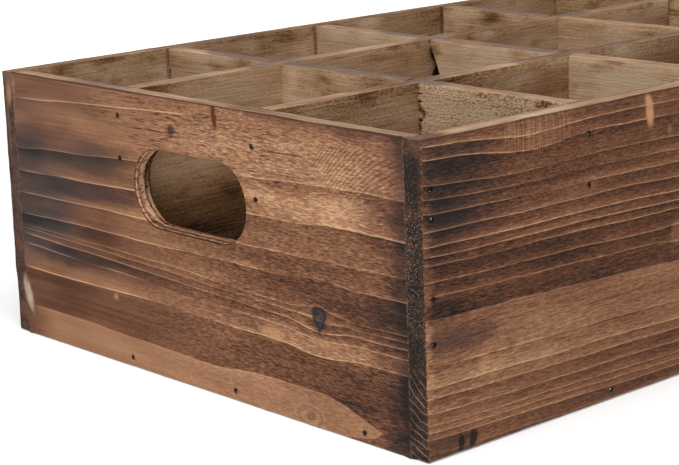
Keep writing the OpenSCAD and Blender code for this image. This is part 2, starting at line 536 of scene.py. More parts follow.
def draw_knot(wood, knot, seed, burn, colour, relief):
    """Lays a knot, and the wood that it colours round it, over a face's colour and relief"""
    paint = colours()
    rise = (wood.h - knot.h) / knot.half_h
    width = (rise * knot.taper + 1.0) * knot.half_s
    offset = wood.join((wood.s - knot.s) / width, rise, 0.0)
    rough = wood.noise(5.0, 4.0, seed + 13, detail=3.0) - 0.5
    distance = wood.vector("LENGTH", offset, output=1) + rough * knot.rough
    halo = wood.smooth(distance, knot.halo, 1.0)
    ringed_burn = burn + halo * knot.halo_burn
    if knot.rings:
        ringed_burn = ringed_burn + wood.math("SINE", distance * knot.rings) * halo * 0.09
    ringed = burnt_colour(wood, ringed_burn, 0.1)
    colour = wood.mix(wood.smooth(halo, 0.0, 0.35), colour, ringed)
    heart = wood.smooth(distance, 1.12, 0.82)
    core = wood.smooth(distance, 0.8, 0.35)
    split = core * wood.smooth(wood.noise(2.2, 1.8, seed + 12, detail=3.0), 0.36, 0.6)
    bark, middle = (tuple(getattr(paint, name)) for name in (knot.bark, knot.colour))
    inner = wood.mix(split, bark, middle)
    return wood.mix(heart * knot.strength, colour, inner), relief - heart * knot.depth


def lay_tongue(wood, plan, burn, soot, cloud, grain):
    """Lays the smooth pale tongue at a face's foot over its burn and soot"""
    length = plan["length"]
    edges = []
    for outline in (plan["tongue"], plan["tongue_foot"]):
        points = [(s / length, h / TONGUE_TOP) for s, h in outline]
        edges.append(wood.curve(wood.s / length, points) * TONGUE_TOP)
    waver = (wood.noise(40, 12, plan["seed"] + 9) - 0.5) * 1.6
    inside = wood.math("MINIMUM", edges[0] + waver - wood.h, wood.h - edges[1] - waver)
    edge = wood.smooth(abs(inside - 0.5), 0.7, 0.0)
    tongue = wood.smooth(inside, -0.3, 0.6)
    light = plan["tongue_burn"] + cloud * 0.4 + grain * 0.55 - edge * 0.1
    burn = burn + (light - burn) * tongue
    for s, h, reach_s, reach_h, change in plan["tongue_scorch"]:
        burn = burn + wood.spot(s, h, reach_s, reach_h) * tongue * change
    return burn, soot * (1.0 - tongue * 0.8)


def burnt_face(wood, plan):
    """The brushed and scorched outer face of a board, drawn to its plan

    Gives colour, relief in millimetres and roughness.
    """
    paint = colours()
    seed = plan["seed"]
    slopes = [(height / plan["height"], slope / 0.2 + 0.5) for height, slope in plan["lean"]]
    slope = (wood.curve(wood.h / plan["height"], slopes) - 0.5) * 0.2
    run = wood.math("MINIMUM", wood.s - plan["level_at"], plan["lean_to"])
    drift = (wood.noise(130, 30, seed) - 0.5) * plan["drift"]
    drift = drift + (wood.noise(32, 9, seed + 1) - 0.5) * 1.6
    level = wood.h - slope * run + drift
    for knot in plan["knots"]:
        level = level - knot_lift(wood, knot)
    for s, h, reach_s, reach_h, dip in plan["dips"]:
        level = level + wood.spot(s, h, reach_s, reach_h, ragged=False) * dip
    line, burn, above = growth_rings(wood, level, plan["rings"])
    line = line * wood.smooth(wood.noise(70, 22, seed + 2), 0.28, 0.52)
    line = line * wood.smooth(wood.s, plan["lines_from"], plan["lines_from"] + 12.0)
    bright = wood.smooth(above, 0.8, 0.1)
    shine = bright * 0.85 + wood.smooth(above, 3.6, 0.0) * 0.26

    start, end, dull, crisp = plan["crisp"]
    fine = wood.smooth(wood.s, start, end) * (crisp - dull) + dull
    long_fibre = wood.noise(80, 1.5, seed + 3) - 0.5
    short_fibre = wood.noise(5.5, 0.5, seed + 4, detail=2.0, roughness=0.6) - 0.5
    speck = wood.noise(2.6, 0.5, seed + 14, detail=1.0) - 0.5
    fleck = wood.smooth(wood.noise(2.4, 0.6, seed + 15, detail=0.0), 0.7, 0.8)
    cloud = wood.noise(60, 16, seed + 5) - 0.5
    sand = speck * 0.9 - fleck * 0.14
    grain = long_fibre * 0.3 + (short_fibre * 0.7 + sand * plan["sand"]) * fine
    burn = burn - line * shine * plan["line"] + grain + cloud * 0.42
    relief = line * shine * 0.16 + long_fibre * 0.2 + (short_fibre * 0.35 + speck * 0.12) * fine

    soot = wood.smooth(cloud + long_fibre * 0.5, 0.1, 0.4) * plan["soot"]
    heat = 0.0
    for s, h, reach_s, reach_h, change, grey in plan["scorch"]:
        mask = wood.spot(s, h, reach_s, reach_h, core=0.25)
        heat = mask * change + heat
        if grey:
            soot = soot + mask * grey
    burn = burn + heat - grain * wood.smooth(heat, 0.0, 0.4) * 0.6

    for s, h, reach_s, reach_h, strength in plan["dashes"]:
        zone = wood.spot(s, h, reach_s, reach_h, core=0.6)
        dash = wood.smooth(wood.noise(8, 0.5, seed + 6, detail=1.0), 0.58, 0.68) * zone
        burn = burn + dash * strength
        relief = relief - dash * 0.2
    for s, h, reach_s, reach_h, strength in plan["saw_marks"]:
        zone = wood.spot(s, h, reach_s, reach_h, core=0.5)
        mark = (wood.noise(0.8, 40, seed + 7) - 0.5) * zone
        burn = burn - mark * strength
        relief = relief - mark * 0.3
    for s, h, reach_s, reach_h, angle, spacing, bend, strength in plan["saw_arcs"]:
        zone = wood.spot(s, h, reach_s, reach_h, core=0.5)
        arc = wood.saw_arcs(s, h, angle, spacing, bend, seed + 8) * zone
        burn = burn + arc * strength
        relief = relief + arc * 0.06

    if plan["tongue"]:
        burn, soot = lay_tongue(wood, plan, burn, soot, cloud, grain)

    colour = burnt_colour(wood, burn, soot)
    colour = wood.mix(line * bright * 0.22, colour, tuple(paint.amber))

    for s, h, reach_s, reach_h, lean, name, strength, core, grained in plan["stains"]:
        mask = wood.blotch(wood.s, s, h, reach_s, reach_h, lean, core) * strength
        broken = wood.smooth(short_fibre + long_fibre, -0.3, 0.1)
        mask = mask * (broken * grained + (1.0 - grained))
        colour = wood.mix(mask, colour, tuple(getattr(paint, name)))

    for knot in plan["knots"]:
        colour, relief = draw_knot(wood, knot, seed, burn, colour, relief)
    roughness = 0.62 + wood.smooth(burn, 0.5, 1.0) * 0.14 + short_fibre * 0.2
    return colour, relief, roughness


def raw_face(wood, seed, light=0.0, patches=(), wool=0.35):
    """A rough, unburnt inner face: fuzzy fibres and stains, a little darker just under its top edge,
    with painted shade that deepens lower down
    """
    paint = colours()
    cloud = wood.noise(46, 15, seed) - 0.5
    fibre = wood.noise(22, 0.9, seed + 1, detail=3.0) - 0.5
    fuzz = wood.slanted(17.0, 2.6, 0.7, seed + 2) - 0.5
    speck = wood.noise(1.5, 0.9, seed + 5, detail=2.0, roughness=0.7) - 0.5
    streak = wood.smooth(wood.noise(70, 3.5, seed + 3), 0.55, 0.72)
    tone = 0.36 - light + cloud * 0.8 + fibre * 0.6 + fuzz * 0.4 + streak * 0.16
    tone = tone + speck * wool * 2.0
    # Painted shade: the face grows darker lower down, for the depth of the cells and the view through
    # the hand holes
    tone = tone + wood.smooth(wood.h, 110.0, 70.0) * 0.16 + wood.smooth(wood.h, 86.0, 50.0) * 0.56
    stain = wood.smooth(wood.noise(26, 13, seed + 4, detail=3.0), 0.54, 0.72)
    tone = tone + stain * 0.3 + wood.smooth(wood.h + cloud * 8.0, 122.0, 130.0) * 0.1
    for s, h, reach_s, reach_h, change in patches:
        tone = tone + wood.spot(s, h, reach_s, reach_h) * change
    colour = wood.ramp(
        tone * 0.9,
        [
            (0.0, paint.raw_light),
            (0.36, paint.raw),
            (0.65, paint.raw_brown),
            (1.0, paint.raw_dark),
        ],
    )
    return colour, fibre * 0.2 + fuzz * 0.15 + speck * wool * 0.3, 0.82 + fuzz * 0.15


def sawn_top(wood, seed, burn, greys=(), browns=()):
    """A sawn top edge, smoked grey and toasted between the places that greys and browns list"""
    paint = colours()
    cloud = wood.noise(34, 8, seed) - 0.5
    fibre = wood.noise(16, 0.8, seed + 1, detail=3.0) - 0.5
    streak = wood.noise(60, 0.7, seed + 2, detail=2.0) - 0.5
    run = wood.s + cloud * 26 + fibre * 14
    tone = burn + cloud * 0.7 + fibre * 0.9 + streak * 1.1

    def between(start, end):
        return wood.smooth(run, start - 5.0, start + 5.0) * wood.smooth(run, end + 7.0, end - 7.0)

    for start, end, strength in browns:
        tone = tone + between(start, end) * strength
    colour = wood.ramp(
        tone, [(0.0, paint.worn), (0.3, paint.top), (0.7, paint.top_brown), (1.0, paint.umber)]
    )
    if greys:
        smoke = fibre * 0.3
        for start, end, strength in greys:
            smoke = between(start, end) * strength + smoke
        dusty = wood.ramp(
            0.45 + streak * 1.5 + fibre * 0.5,
            [(0.0, paint.worn), (0.34, paint.top_grey), (0.66, paint.top_grey), (1.0, paint.dark)],
        )
        colour = wood.mix(smoke, colour, dusty)
    return colour, fibre * 0.3, 0.74 + fibre * 0.1


def end_grain(wood, plan):
    """Sawn end grain: arcs of growth rings low down, saw scratches, pale flecks and blotches"""
    paint = colours()
    seed = plan["seed"] + 70
    centre = wood.vector("ADD", wood.join(0.0, wood.h, wood.t), (0.0, -52.0, 14.0))
    distance = wood.vector("LENGTH", centre, output=1) + (wood.noise(9, 9, seed) - 0.5) * 4.0
    ripple = wood.math("SINE", distance * 2.0)
    ring = wood.smooth(ripple, 0.8, 1.0) * wood.smooth(wood.h, 44.0, 28.0) * plan["arcs"]
    stretched = wood.vector("MULTIPLY", wood.place, (0.3, 0.9, 0.28))
    scratch = wood.add(
        "ShaderNodeTexNoise", {}, {"Vector": stretched, "Scale": 1.0, "Detail": 4.0}
    ) - 0.5
    upright = wood.noise(9, 9, seed + 3) * 2.0 + wood.noise(1.2, 1.2, seed + 4) - 1.5
    middle = wood.smooth(abs(wood.h - 77.0), 40.0, 14.0) * 0.7 + 0.3
    fleck = wood.smooth(wood.noise(0.5, 0.5, seed + 1, detail=1.0), 0.54, 0.74)
    fleck = fleck * middle * plan["flecks"]
    cap = wood.smooth(wood.h + scratch * 8.0, 120.0, 127.0)
    patch = wood.smooth(wood.noise(14, 14, seed + 2), 0.5, 0.64)
    burn = plan["char"] - ring * 0.5 + scratch * 0.4 + upright * 0.3 - fleck * 0.22
    burn = burn - cap * 0.26 - patch * 0.12
    colour = burnt_colour(wood, burn, plan["grain_soot"] + cap * 0.2 + ring * 0.7 + scratch)
    colour = wood.mix(fleck * 0.4, colour, tuple(paint.top))
    for t, h, reach_t, reach_h, lean, name, strength, core in plan["end_blotches"]:
        mask = wood.blotch(wood.t, t, h, reach_t, reach_h, lean, core) * strength
        colour = wood.mix(mask, colour, tuple(getattr(paint, name)))
    return colour, ring * 0.2 + scratch * 0.4, 0.8


def routed_wall(wood, seed):
    """The wall of a hand hole: torn, toasted fibres with a scorched rim at either face"""
    fibre = wood.noise(12, 1.1, seed, detail=3.0) - 0.5
    torn = wood.smooth(wood.noise(3.0, 1.6, seed + 1, detail=3.0), 0.54, 0.66)
    uneven = wood.noise(9, 9, seed + 2) - 0.5
    ridge = wood.math("SINE", wood.t * 1.75 + uneven * 5.0)
    rim = wood.smooth(abs(wood.t - 0.55), 0.6, 0.15)
    # The wall is darker towards the back face in the hole's upper part, and darker at the hole's foot
    back = wood.smooth(wood.t + uneven * 2.0, 4.0, 7.0) * wood.smooth(wood.h, 78.0, 96.0)
    burn = 0.12 + fibre * 0.7 + torn * 0.4 - ridge * 0.26 + rim * 0.7
    burn = burn + back * 0.6 + wood.smooth(wood.t, 7.4, 8.6) * 0.4
    burn = burn + wood.smooth(wood.h, 74.0, 70.5) * 0.34
    colour = burnt_colour(wood, burn, 0.12)
    return colour, fibre * 0.5 + ridge * 0.25 - torn * 0.4, 0.78


def joined_faces(wood, first, *others):
    """One colour, relief and roughness from several faces, each with the mask that it shows by"""
    colour, relief, roughness = first
    for mask, (other_colour, other_relief, other_roughness) in others:
        colour = wood.mix(mask, colour, other_colour)
        relief = relief + (other_relief - relief) * mask
        roughness = roughness + (other_roughness - roughness) * mask
    return colour, relief, roughness


def edge_masks(wood, length, height, thickness, inset):
    """Masks for a board's top, its foot, its two ends and the walls of its cuts

    Cuts are looked for only further than inset from where the length starts and ends.
    """
    along, across, through = wood.board
    top = wood.facing_way(across[0], across[1]) * wood.smooth(wood.h, height - 2.0, height - 1.2)
    foot = wood.facing_way(across[0], -across[1]) * wood.smooth(wood.h, 2.0, 1.2)
    side_on = wood.smooth(abs(wood.facing[along[0]]), 0.55, 0.85)
    end = wood.math("MINIMUM", wood.s, length - wood.s)
    ends = side_on * wood.smooth(end, 2.0, 1.2)
    depth = wood.math("MINIMUM", wood.t, thickness - wood.t)
    turned = wood.smooth(abs(wood.facing[through[0]]), 0.94, 0.8) * wood.smooth(depth, 0.25, 0.5)
    cut = (
        wood.math("MAXIMUM", turned, wood.smooth(depth, 1.2, 1.6))
        * wood.smooth(wood.math("MINIMUM", wood.h, height - wood.h), 1.6, 2.4)
        * wood.smooth(end - inset, 1.6, 2.4)
    )
    return top, foot, ends, cut


Knot = namedtuple(
    "Knot",
    "s h half_s half_h lift reach halo halo_burn rings bark colour strength depth taper rough",
)

# The figure of each wall, in millimetres along its outer face and up it, seen from outside. Burn
# and the other strengths run from about 0 to 1, and a change of burn below 0 makes the wood paler.
# top, top_greys, top_browns: burn of the top edge, then start, end and strength of each smoked or
#   toasted stretch of it
# soot, joint, line, drift, sand: how sooty the face is, how dark the line at its corner joint
#   with its painted shade, how strong its pale lines, how far its rings wander, how gritty its grain
# lines_from: where along the face the pale lines start to show
# char, arcs, flecks, grain_soot, end_blotches: the sawn ends' burn, growth rings, pale flecks and
#   soot, then their blotches: depth, height, two reaches, lean, colour, strength, solid share
# glue, inside: on the inner face, the lines of old glue, and patches by place, reach and change
# crisp: where the fine grain starts to change, where it has changed, its strength before and after
# rings: where a ring begins, strength of its pale line, burn just above the line, burn at its top
# lean, level_at, lean_to: height and slope of the grain there, where the rings' heights are taken,
#   and how far past that they go on leaning
# dips: place, reach and change of the rings' height. scorch: place, reach, burn, soot.
# dashes, saw_marks: place, reach, strength. saw_arcs: place, reach, angle, spacing, bend, strength.
# tongue, tongue_foot: upper and lower outline of the pale tongue, with its burn and its scorches
# stains: place, reach, lean, colour, strength, share that is solid, share that the grain breaks up
# knots: place, half sizes, how far and how wide the grain parts, the size, burn and rings of the
#   wood that the knot colours, its bark, heart and strength, its depth, taper and raggedness
PLAIN_PLAN = {"height": 130.0, "end_blotches": [], "glue": [], "inside": [], "tongue": []}
LEFT_END_PLAN = {
    **PLAIN_PLAN,
    "seed": 3,
    "top": 0.42,
    "top_greys": [(54, 96, 0.5), (176, 206, 0.3), (262, 280, 0.4)],
    "top_browns": [(66, 84, 0.2), (176, 200, 0.16)],
    "soot": 0.1,
    "lines_from": 8.0,
    "joint": 0.6,
    "grain_soot": 0.1,
    "crisp": (50.0, 190.0, 0.1, 1.1),
    "sand": 0.9,
    "char": 0.86,
    "arcs": 0.5,
    "flecks": 0.5,
    "length": 290.0,
    "level_at": 100.0,
    "lean_to": 135.0,
    "drift": 4.0,
    "line": 0.5,
    "rings": [
        (-8.0, 0.0, 0.62, 0.62), (16.0, 0.0, 0.62, 0.66), (34.0, 1.0, 0.46, 0.52),
        (43.3, 0.95, 0.58, 0.68), (48.2, 0.85, 0.6, 0.68), (51.5, 0.55, 0.6, 0.66),
        (54.0, 0.5, 0.6, 0.68), (62.0, 0.7, 0.54, 0.66), (72.0, 0.7, 0.56, 0.68),
        (84.0, 0.85, 0.47, 0.57), (97.7, 0.4, 0.38, 0.4), (110.0, 0.12, 0.38, 0.46),
        (122.0, 0.8, 0.44, 0.46), (136.0, 0.0, 0.44, 0.46),
    ],
    "lean": [
        (0.0, 0.0), (34.0, 0.0), (44.0, -0.03), (51.0, -0.03), (62.0, 0.013), (72.0, 0.01),
        (84.0, 0.022), (97.0, 0.05), (130.0, 0.053),
    ],
    "dips": [(240, 126, 110, 18, -6.0)],
    "scorch": [
        (26, 70, 46, 34, 0.2, 0.85), (46, 98, 70, 14, 0.22, 0.4), (76, 99, 30, 9, 0.08, 0.1),
        (70, 91, 46, 8, 0.16, 0.3), (74, 60, 24, 8, 0.2, 0.1), (30, 46, 50, 7, 0.15, 0.2),
        (40, 33, 60, 7, 0.09, 0.0), (240, 45, 24, 6, 0.1, 0.0), (158, 58, 26, 7, -0.09, 0.0),
        (132, 19, 24, 8, -0.08, 0.0), (16, 90, 22, 14, 0.12, 0.2), (66, 79, 50, 7, 0.22, 0.5),
        (34, 58, 40, 6, 0.14, 0.4), (90, 99, 34, 7, 0.1, 0.1), (104, 84, 20, 9, 0.1, 0.0),
        (62, 46, 50, 9, 0.18, 0.3), (100, 46, 60, 8, 0.12, 0.1), (30, 120, 90, 16, 0.14, 0.2),
        (12, 108, 34, 20, 0.14, 0.2), (40, 108, 30, 9, 0.1, 0.0), (10, 48, 20, 22, 0.1, 0.5),
        (8, 6, 24, 10, 0.16, 0.3), (36, 20, 30, 8, 0.08, 0.1), (105, 71, 30, 7, -0.12, 0.0),
        (40, 44, 34, 7, 0.1, 0.1), (218, 94, 62, 9, -0.24, 0.0), (215, 108, 100, 14, -0.06, 0.0),
        (268, 100, 24, 34, 0.14, 0.1), (272, 48, 22, 34, 0.14, 0.1), (186, 98, 26, 8, -0.2, 0.0),
        (246, 97, 30, 7, -0.18, 0.0), (210, 58, 30, 8, 0.1, 0.0), (150, 112, 80, 18, -0.06, 0.0),
        (255, 56, 40, 14, 0.12, 0.1), (250, 20, 60, 13, 0.14, 0.1), (222, 37, 42, 7, -0.14, 0.0),
        (160, 32, 60, 8, -0.12, 0.0), (170, 18, 60, 8, 0.08, 0.0), (282, 80, 14, 90, 0.24, 0.25),
        (284, 22, 20, 24, 0.22, 0.2), (276, 4, 16, 10, 0.26, 0.4), (280, 124, 16, 14, 0.26, 0.2),
        (236, 129, 60, 5, 0.26, 0.2), (0, 65, 12, 90, 0.16, 0.2),
    ],
    "dashes": [(165, 112, 80, 18, 0.34), (110, 122, 60, 12, 0.2)],
    "saw_marks": [(190, 60, 80, 16, 0.12)],
    "saw_arcs": [
        (252, 113, 32, 14, 38, 1.8, 0.006, 0.11), (262, 34, 22, 10, -36, 1.8, -0.006, 0.05),
    ],
    "tongue": [
        (0, 14.5), (24, 15.6), (100, 15.0), (156, 13.6), (184, 16.0), (225, 16.4), (237, 15.0),
        (247, 12.3), (256, 9.3), (265, 6.3), (268, 0.0), (290, 0.0),
    ],
    "tongue_foot": [
        (0, 0.0), (243, 0.0), (246, 0.7), (257, 2.7), (261, 4.3), (265, 6.3), (290, 6.3),
    ],
    "tongue_burn": 0.31,
    "tongue_scorch": [(2, 6, 36, 26, 0.46), (110, 6, 60, 12, -0.08), (212, 8, 26, 12, 0.02)],
    "stains": [
        (164.2, 125.5, 2.0, 7.2, -0.14, "resin", 0.95, 0.55, 0.0),
        (85, 32, 2.6, 2.4, 0.0, "amber", 0.6, 0.2, 0.6),
        (11.4, 20.5, 5.8, 12.6, -0.24, "dark", 0.5, 0.4, 0.3),
        (11.4, 20.0, 4.5, 11.0, -0.24, "worn", 0.8, 0.35, 0.25),
        (9, 122, 4, 12, 0.0, "worn", 0.35, 0.0, 1.0),
        (197, 36.0, 11, 5.0, 0.0, "amber", 0.7, 0.2, 0.8),
        (229, 38.0, 6, 4.0, 0.0, "amber", 0.45, 0.1, 0.8),
        (40, 90, 2.0, 2.0, 0.0, "resin", 0.4, 0.2, 0.5),
        (273, 110.6, 2.2, 1.8, 0.0, "resin", 0.6, 0.2, 0.3),
    ],
    "knots": [
        Knot(
            s=228.0, h=48.0, half_s=4.3, half_h=5.6, lift=5.5, reach=24.0, halo=2.1,
            halo_burn=0.1, rings=0, bark="knot", colour="soot", strength=0.9, depth=0.6,
            taper=0.3, rough=0.95,
        ),
        Knot(
            s=220.0, h=4.2, half_s=4.0, half_h=2.2, lift=0.0, reach=12.0, halo=4.2,
            halo_burn=-0.02, rings=4.4, bark="brown", colour="umber", strength=0.5, depth=0.15,
            taper=0.0, rough=2.0,
        ),
        Knot(
            s=134.0, h=115.6, half_s=2.2, half_h=2.0, lift=1.5, reach=10.0, halo=1.8,
            halo_burn=0.16, rings=0, bark="dark", colour="resin", strength=0.85, depth=0.2,
            taper=0.0, rough=0.6,
        ),
    ],
}
NEAR_SIDE_PLAN = {
    **PLAIN_PLAN,
    "seed": 11,
    "top": 0.36,
    "top_greys": [(-20, 11, 0.6), (300, 330, 0.4)],
    "top_browns": [(-20, 11, 0.95)],
    "soot": 0.06,
    "lines_from": -6.0,
    "joint": 0.85,
    "grain_soot": 0.2,
    "crisp": (0.0, 160.0, 0.95, 0.8),
    "sand": 0.7,
    "char": 1.06,
    "arcs": 1.0,
    "flecks": 1.4,
    "length": 395.0,
    "level_at": 0.0,
    "lean_to": 260.0,
    "drift": 2.6,
    "line": 0.5,
    "rings": [
        (-9.0, 0.0, 0.6, 0.64), (3.0, 0.3, 0.54, 0.66), (9.0, 0.5, 0.52, 0.64),
        (12.0, 0.5, 0.52, 0.66), (15.0, 0.5, 0.54, 0.67), (20.0, 0.55, 0.52, 0.66),
        (26.0, 0.5, 0.46, 0.58), (30.6, 0.6, 0.4, 0.55), (39.0, 0.45, 0.42, 0.43),
        (58.4, 0.0, 0.79, 0.76), (67.6, 0.6, 0.78, 0.9), (73.4, 0.6, 0.76, 0.88),
        (80.0, 0.75, 0.72, 0.86), (83.5, 0.9, 0.66, 0.8), (87.3, 0.9, 0.64, 0.84),
        (93.4, 0.65, 0.64, 0.8), (100.0, 0.65, 0.63, 0.8), (105.6, 0.55, 0.66, 0.82),
        (111.6, 0.7, 0.66, 0.82), (121.0, 0.95, 0.66, 0.8), (126.2, 0.8, 0.62, 0.7),
        (140.0, 0.0, 0.6, 0.6),
    ],
    "lean": [
        (0.0, -0.02), (30.0, -0.024), (55.0, -0.034), (90.0, -0.02), (110.0, -0.022),
        (130.0, -0.014),
    ],
    "dips": [(60, 123, 46, 20, 2.6), (56, 112, 60, 12, 1.6)],
    "scorch": [
        (22, 104, 40, 28, 0.15, 0.2), (18, 48, 32, 8, 0.2, 0.3), (0, 62, 6, 80, -0.2, 0.0),
        (66, 124, 34, 9, -0.2, 0.0), (10, 122, 26, 12, 0.12, 0.2), (116, 123, 20, 10, 0.08, 0.0),
        (12, 97, 24, 12, 0.16, 0.2), (8, 6, 24, 9, 0.22, 0.2), (6, 84, 24, 8, 0.14, 0.1),
        (6, 60, 24, 7, 0.14, 0.1), (38, 32, 22, 9, -0.1, 0.0), (90, 98, 22, 7, -0.1, 0.0),
        (150, 18, 30, 12, 0.12, 0.0), (70, 34, 60, 14, -0.06, 0.0), (120, 4, 120, 6, 0.1, 0.1),
        (300, 96, 70, 34, 0.16, 0.2), (386, 80, 40, 60, 0.22, 0.3), (392, 24, 34, 26, 0.26, 0.3),
        (250, 44, 60, 12, 0.1, 0.2), (210, 118, 60, 16, -0.12, 0.0),
    ],
    "dashes": [(60, 40, 120, 30, 0.14), (280, 60, 140, 60, 0.18)],
    "saw_marks": [(66, 123, 32, 10, 0.9), (80, 98, 80, 14, 0.14), (300, 112, 60, 20, 0.4)],
    "saw_arcs": [(70, 104, 60, 12, -50, 2.2, 0.002, 0.03)],
    "stains": [
        (134.6, 122, 3.4, 9.5, -0.12, "amber", 0.85, 0.4, 0.35),
        (22, 4.6, 8, 5.6, 0.0, "dark", 0.5, 0.3, 0.6),
        (18.6, 4.5, 2.2, 5.2, 0.0, "char", 0.95, 0.5, 0.2),
        (25.2, 4.8, 2.8, 5.0, 0.1, "char", 0.95, 0.5, 0.2),
        (64, 46, 7, 2.2, 0.0, "amber", 0.16, 0.0, 1.0),
        (148, 112, 2.2, 2.6, 0.0, "tan", 0.4, 0.2, 1.0),
        (153, 66, 3.4, 5.2, 0.0, "tan", 0.7, 0.2, 0.5),
        (286, 30, 4, 7, 0.0, "char", 0.5, 0.2, 0.4),
    ],
    "knots": [
        Knot(
            s=153.0, h=66.0, half_s=2.6, half_h=3.4, lift=2.4, reach=13.0, halo=2.0,
            halo_burn=-0.24, rings=0, bark="umber", colour="orange", strength=0.2, depth=0.2,
            taper=0.0, rough=0.6,
        ),
        Knot(
            s=322.0, h=71.0, half_s=7.0, half_h=5.4, lift=7.0, reach=32.0, halo=2.4,
            halo_burn=0.14, rings=0, bark="knot", colour="soot_light", strength=1.0, depth=0.5,
            taper=0.2, rough=0.9,
        ),
    ],
}
RIGHT_END_PLAN = {
    **LEFT_END_PLAN,
    "seed": 23,
    "drift": 6.0,
    "rings": [
        (-8.0, 0.0, 0.5, 0.56), (7.0, 0.5, 0.42, 0.5), (14.0, 0.6, 0.42, 0.56),
        (23.0, 0.8, 0.42, 0.62), (31.0, 0.7, 0.46, 0.64), (42.0, 0.9, 0.42, 0.6),
        (50.0, 0.5, 0.44, 0.58), (63.0, 0.7, 0.42, 0.52), (78.0, 0.5, 0.38, 0.44),
        (96.0, 0.4, 0.36, 0.4), (113.0, 0.6, 0.4, 0.52), (121.0, 0.7, 0.44, 0.56),
        (136.0, 0.0, 0.5, 0.5),
    ],
    "lean": [(0.0, 0.03), (40.0, 0.02), (70.0, -0.01), (100.0, -0.04), (130.0, -0.03)],
    "scorch": [
        (24, 66, 50, 60, 0.3, 0.5), (262, 84, 50, 44, 0.26, 0.6), (150, 24, 110, 18, 0.12, 0.2),
        (110, 106, 70, 20, -0.16, 0.0), (284, 30, 22, 40, 0.26, 0.3),
    ],
    "dashes": [(140, 100, 110, 28, 0.26)],
    "saw_marks": [(90, 40, 70, 18, 0.3)],
    "saw_arcs": [(60, 112, 40, 16, -34, 1.8, 0.004, 0.1)],
    "tongue": [],
    "stains": [
        (70, 96, 1.8, 7, 0.1, "resin", 0.8, 0.4, 0.0),
        (236, 22, 3.0, 2.6, 0.0, "amber", 0.5, 0.2, 0.6),
        (281, 118, 4, 9, 0.0, "worn", 0.4, 0.0, 1.0),
    ],
    "knots": [
        LEFT_END_PLAN["knots"][0]._replace(
            s=88.0, h=34.0, half_s=5.6, half_h=4.6, lift=5.0, reach=26.0
        ),
        LEFT_END_PLAN["knots"][2]._replace(s=216.0, h=116.0),
    ],
}
FAR_SIDE_PLAN = {
    **NEAR_SIDE_PLAN,
    "seed": 31,
    "top": 0.62,
    "joint": 0.3,
    "grain_soot": 0.4,
    "char": 0.82,
    "arcs": 0.15,
    "flecks": 0.1,
    "top_browns": [],
    "end_blotches": [
        (1.2, 60, 2.0, 90, 0.0, "dark", 0.6, 0.2), (7.0, 66, 3.4, 44, 0.0, "soot", 0.6, 0.2),
        (4.4, 104, 1.6, 30, 0.0, "soot_light", 0.5, 0.2),
        (6.4, 119, 3.0, 8, 0.0, "tan", 0.6, 0.2), (11.4, 20, 4.5, 11, -0.24, "worn", 0.8, 0.35),
    ],
    "glue": [301.1, 201.45, 104.9],
    "inside": [
        (353, 125, 16, 7, -0.3), (305, 120, 16, 12, -0.25), (246, 125, 24, 6, -0.24),
        (210, 117, 14, 9, -0.3), (186, 125, 12, 6, 0.3), (161, 126, 13, 7, -0.4),
    ],
    "top_greys": [(90, 150, 0.4), (230, 300, 0.4)],
    "drift": 4.0,
    "rings": [
        (-9.0, 0.0, 0.56, 0.6), (6.0, 0.5, 0.46, 0.6), (12.0, 0.6, 0.44, 0.58),
        (19.0, 0.6, 0.46, 0.62), (29.0, 0.8, 0.44, 0.6), (36.0, 0.9, 0.44, 0.66),
        (41.0, 0.6, 0.54, 0.7), (52.0, 0.6, 0.6, 0.8), (60.0, 0.7, 0.62, 0.8),
        (71.0, 0.8, 0.56, 0.72), (77.0, 0.7, 0.5, 0.6), (92.0, 0.0, 0.36, 0.4),
        (104.0, 0.5, 0.42, 0.56), (112.0, 0.7, 0.5, 0.66), (119.0, 0.8, 0.5, 0.68),
        (124.5, 0.7, 0.52, 0.6), (140.0, 0.0, 0.6, 0.6),
    ],
    "lean": [(0.0, 0.012), (40.0, 0.02), (80.0, 0.026), (130.0, 0.016)],
    "dips": [(210, 60, 90, 40, 5.0)],
    "scorch": [
        (20, 70, 46, 64, 0.26, 0.4), (378, 60, 46, 70, 0.26, 0.4), (160, 108, 90, 20, 0.12, 0.2),
        (220, 86, 80, 12, -0.1, 0.0), (110, 20, 80, 16, -0.06, 0.0),
    ],
    "dashes": [(200, 90, 150, 40, 0.2)],
    "saw_marks": [(280, 108, 50, 26, 0.5), (60, 30, 60, 16, 0.3)],
    "saw_arcs": [(150, 56, 60, 16, 40, 2.0, -0.003, 0.06)],
    "stains": [
        (98, 118, 3.0, 8, 0.0, "tan", 0.6, 0.4, 0.6), (332, 12, 6, 5, 0.0, "char", 0.8, 0.3, 0.3),
        (244, 34, 2.2, 7, 0.1, "resin", 0.6, 0.3, 0.0),
    ],
    "knots": [
        NEAR_SIDE_PLAN["knots"][1]._replace(s=128.0, h=44.0, half_s=6.0, half_h=6.4),
        NEAR_SIDE_PLAN["knots"][0]._replace(s=286.0, h=78.0),
    ],
}


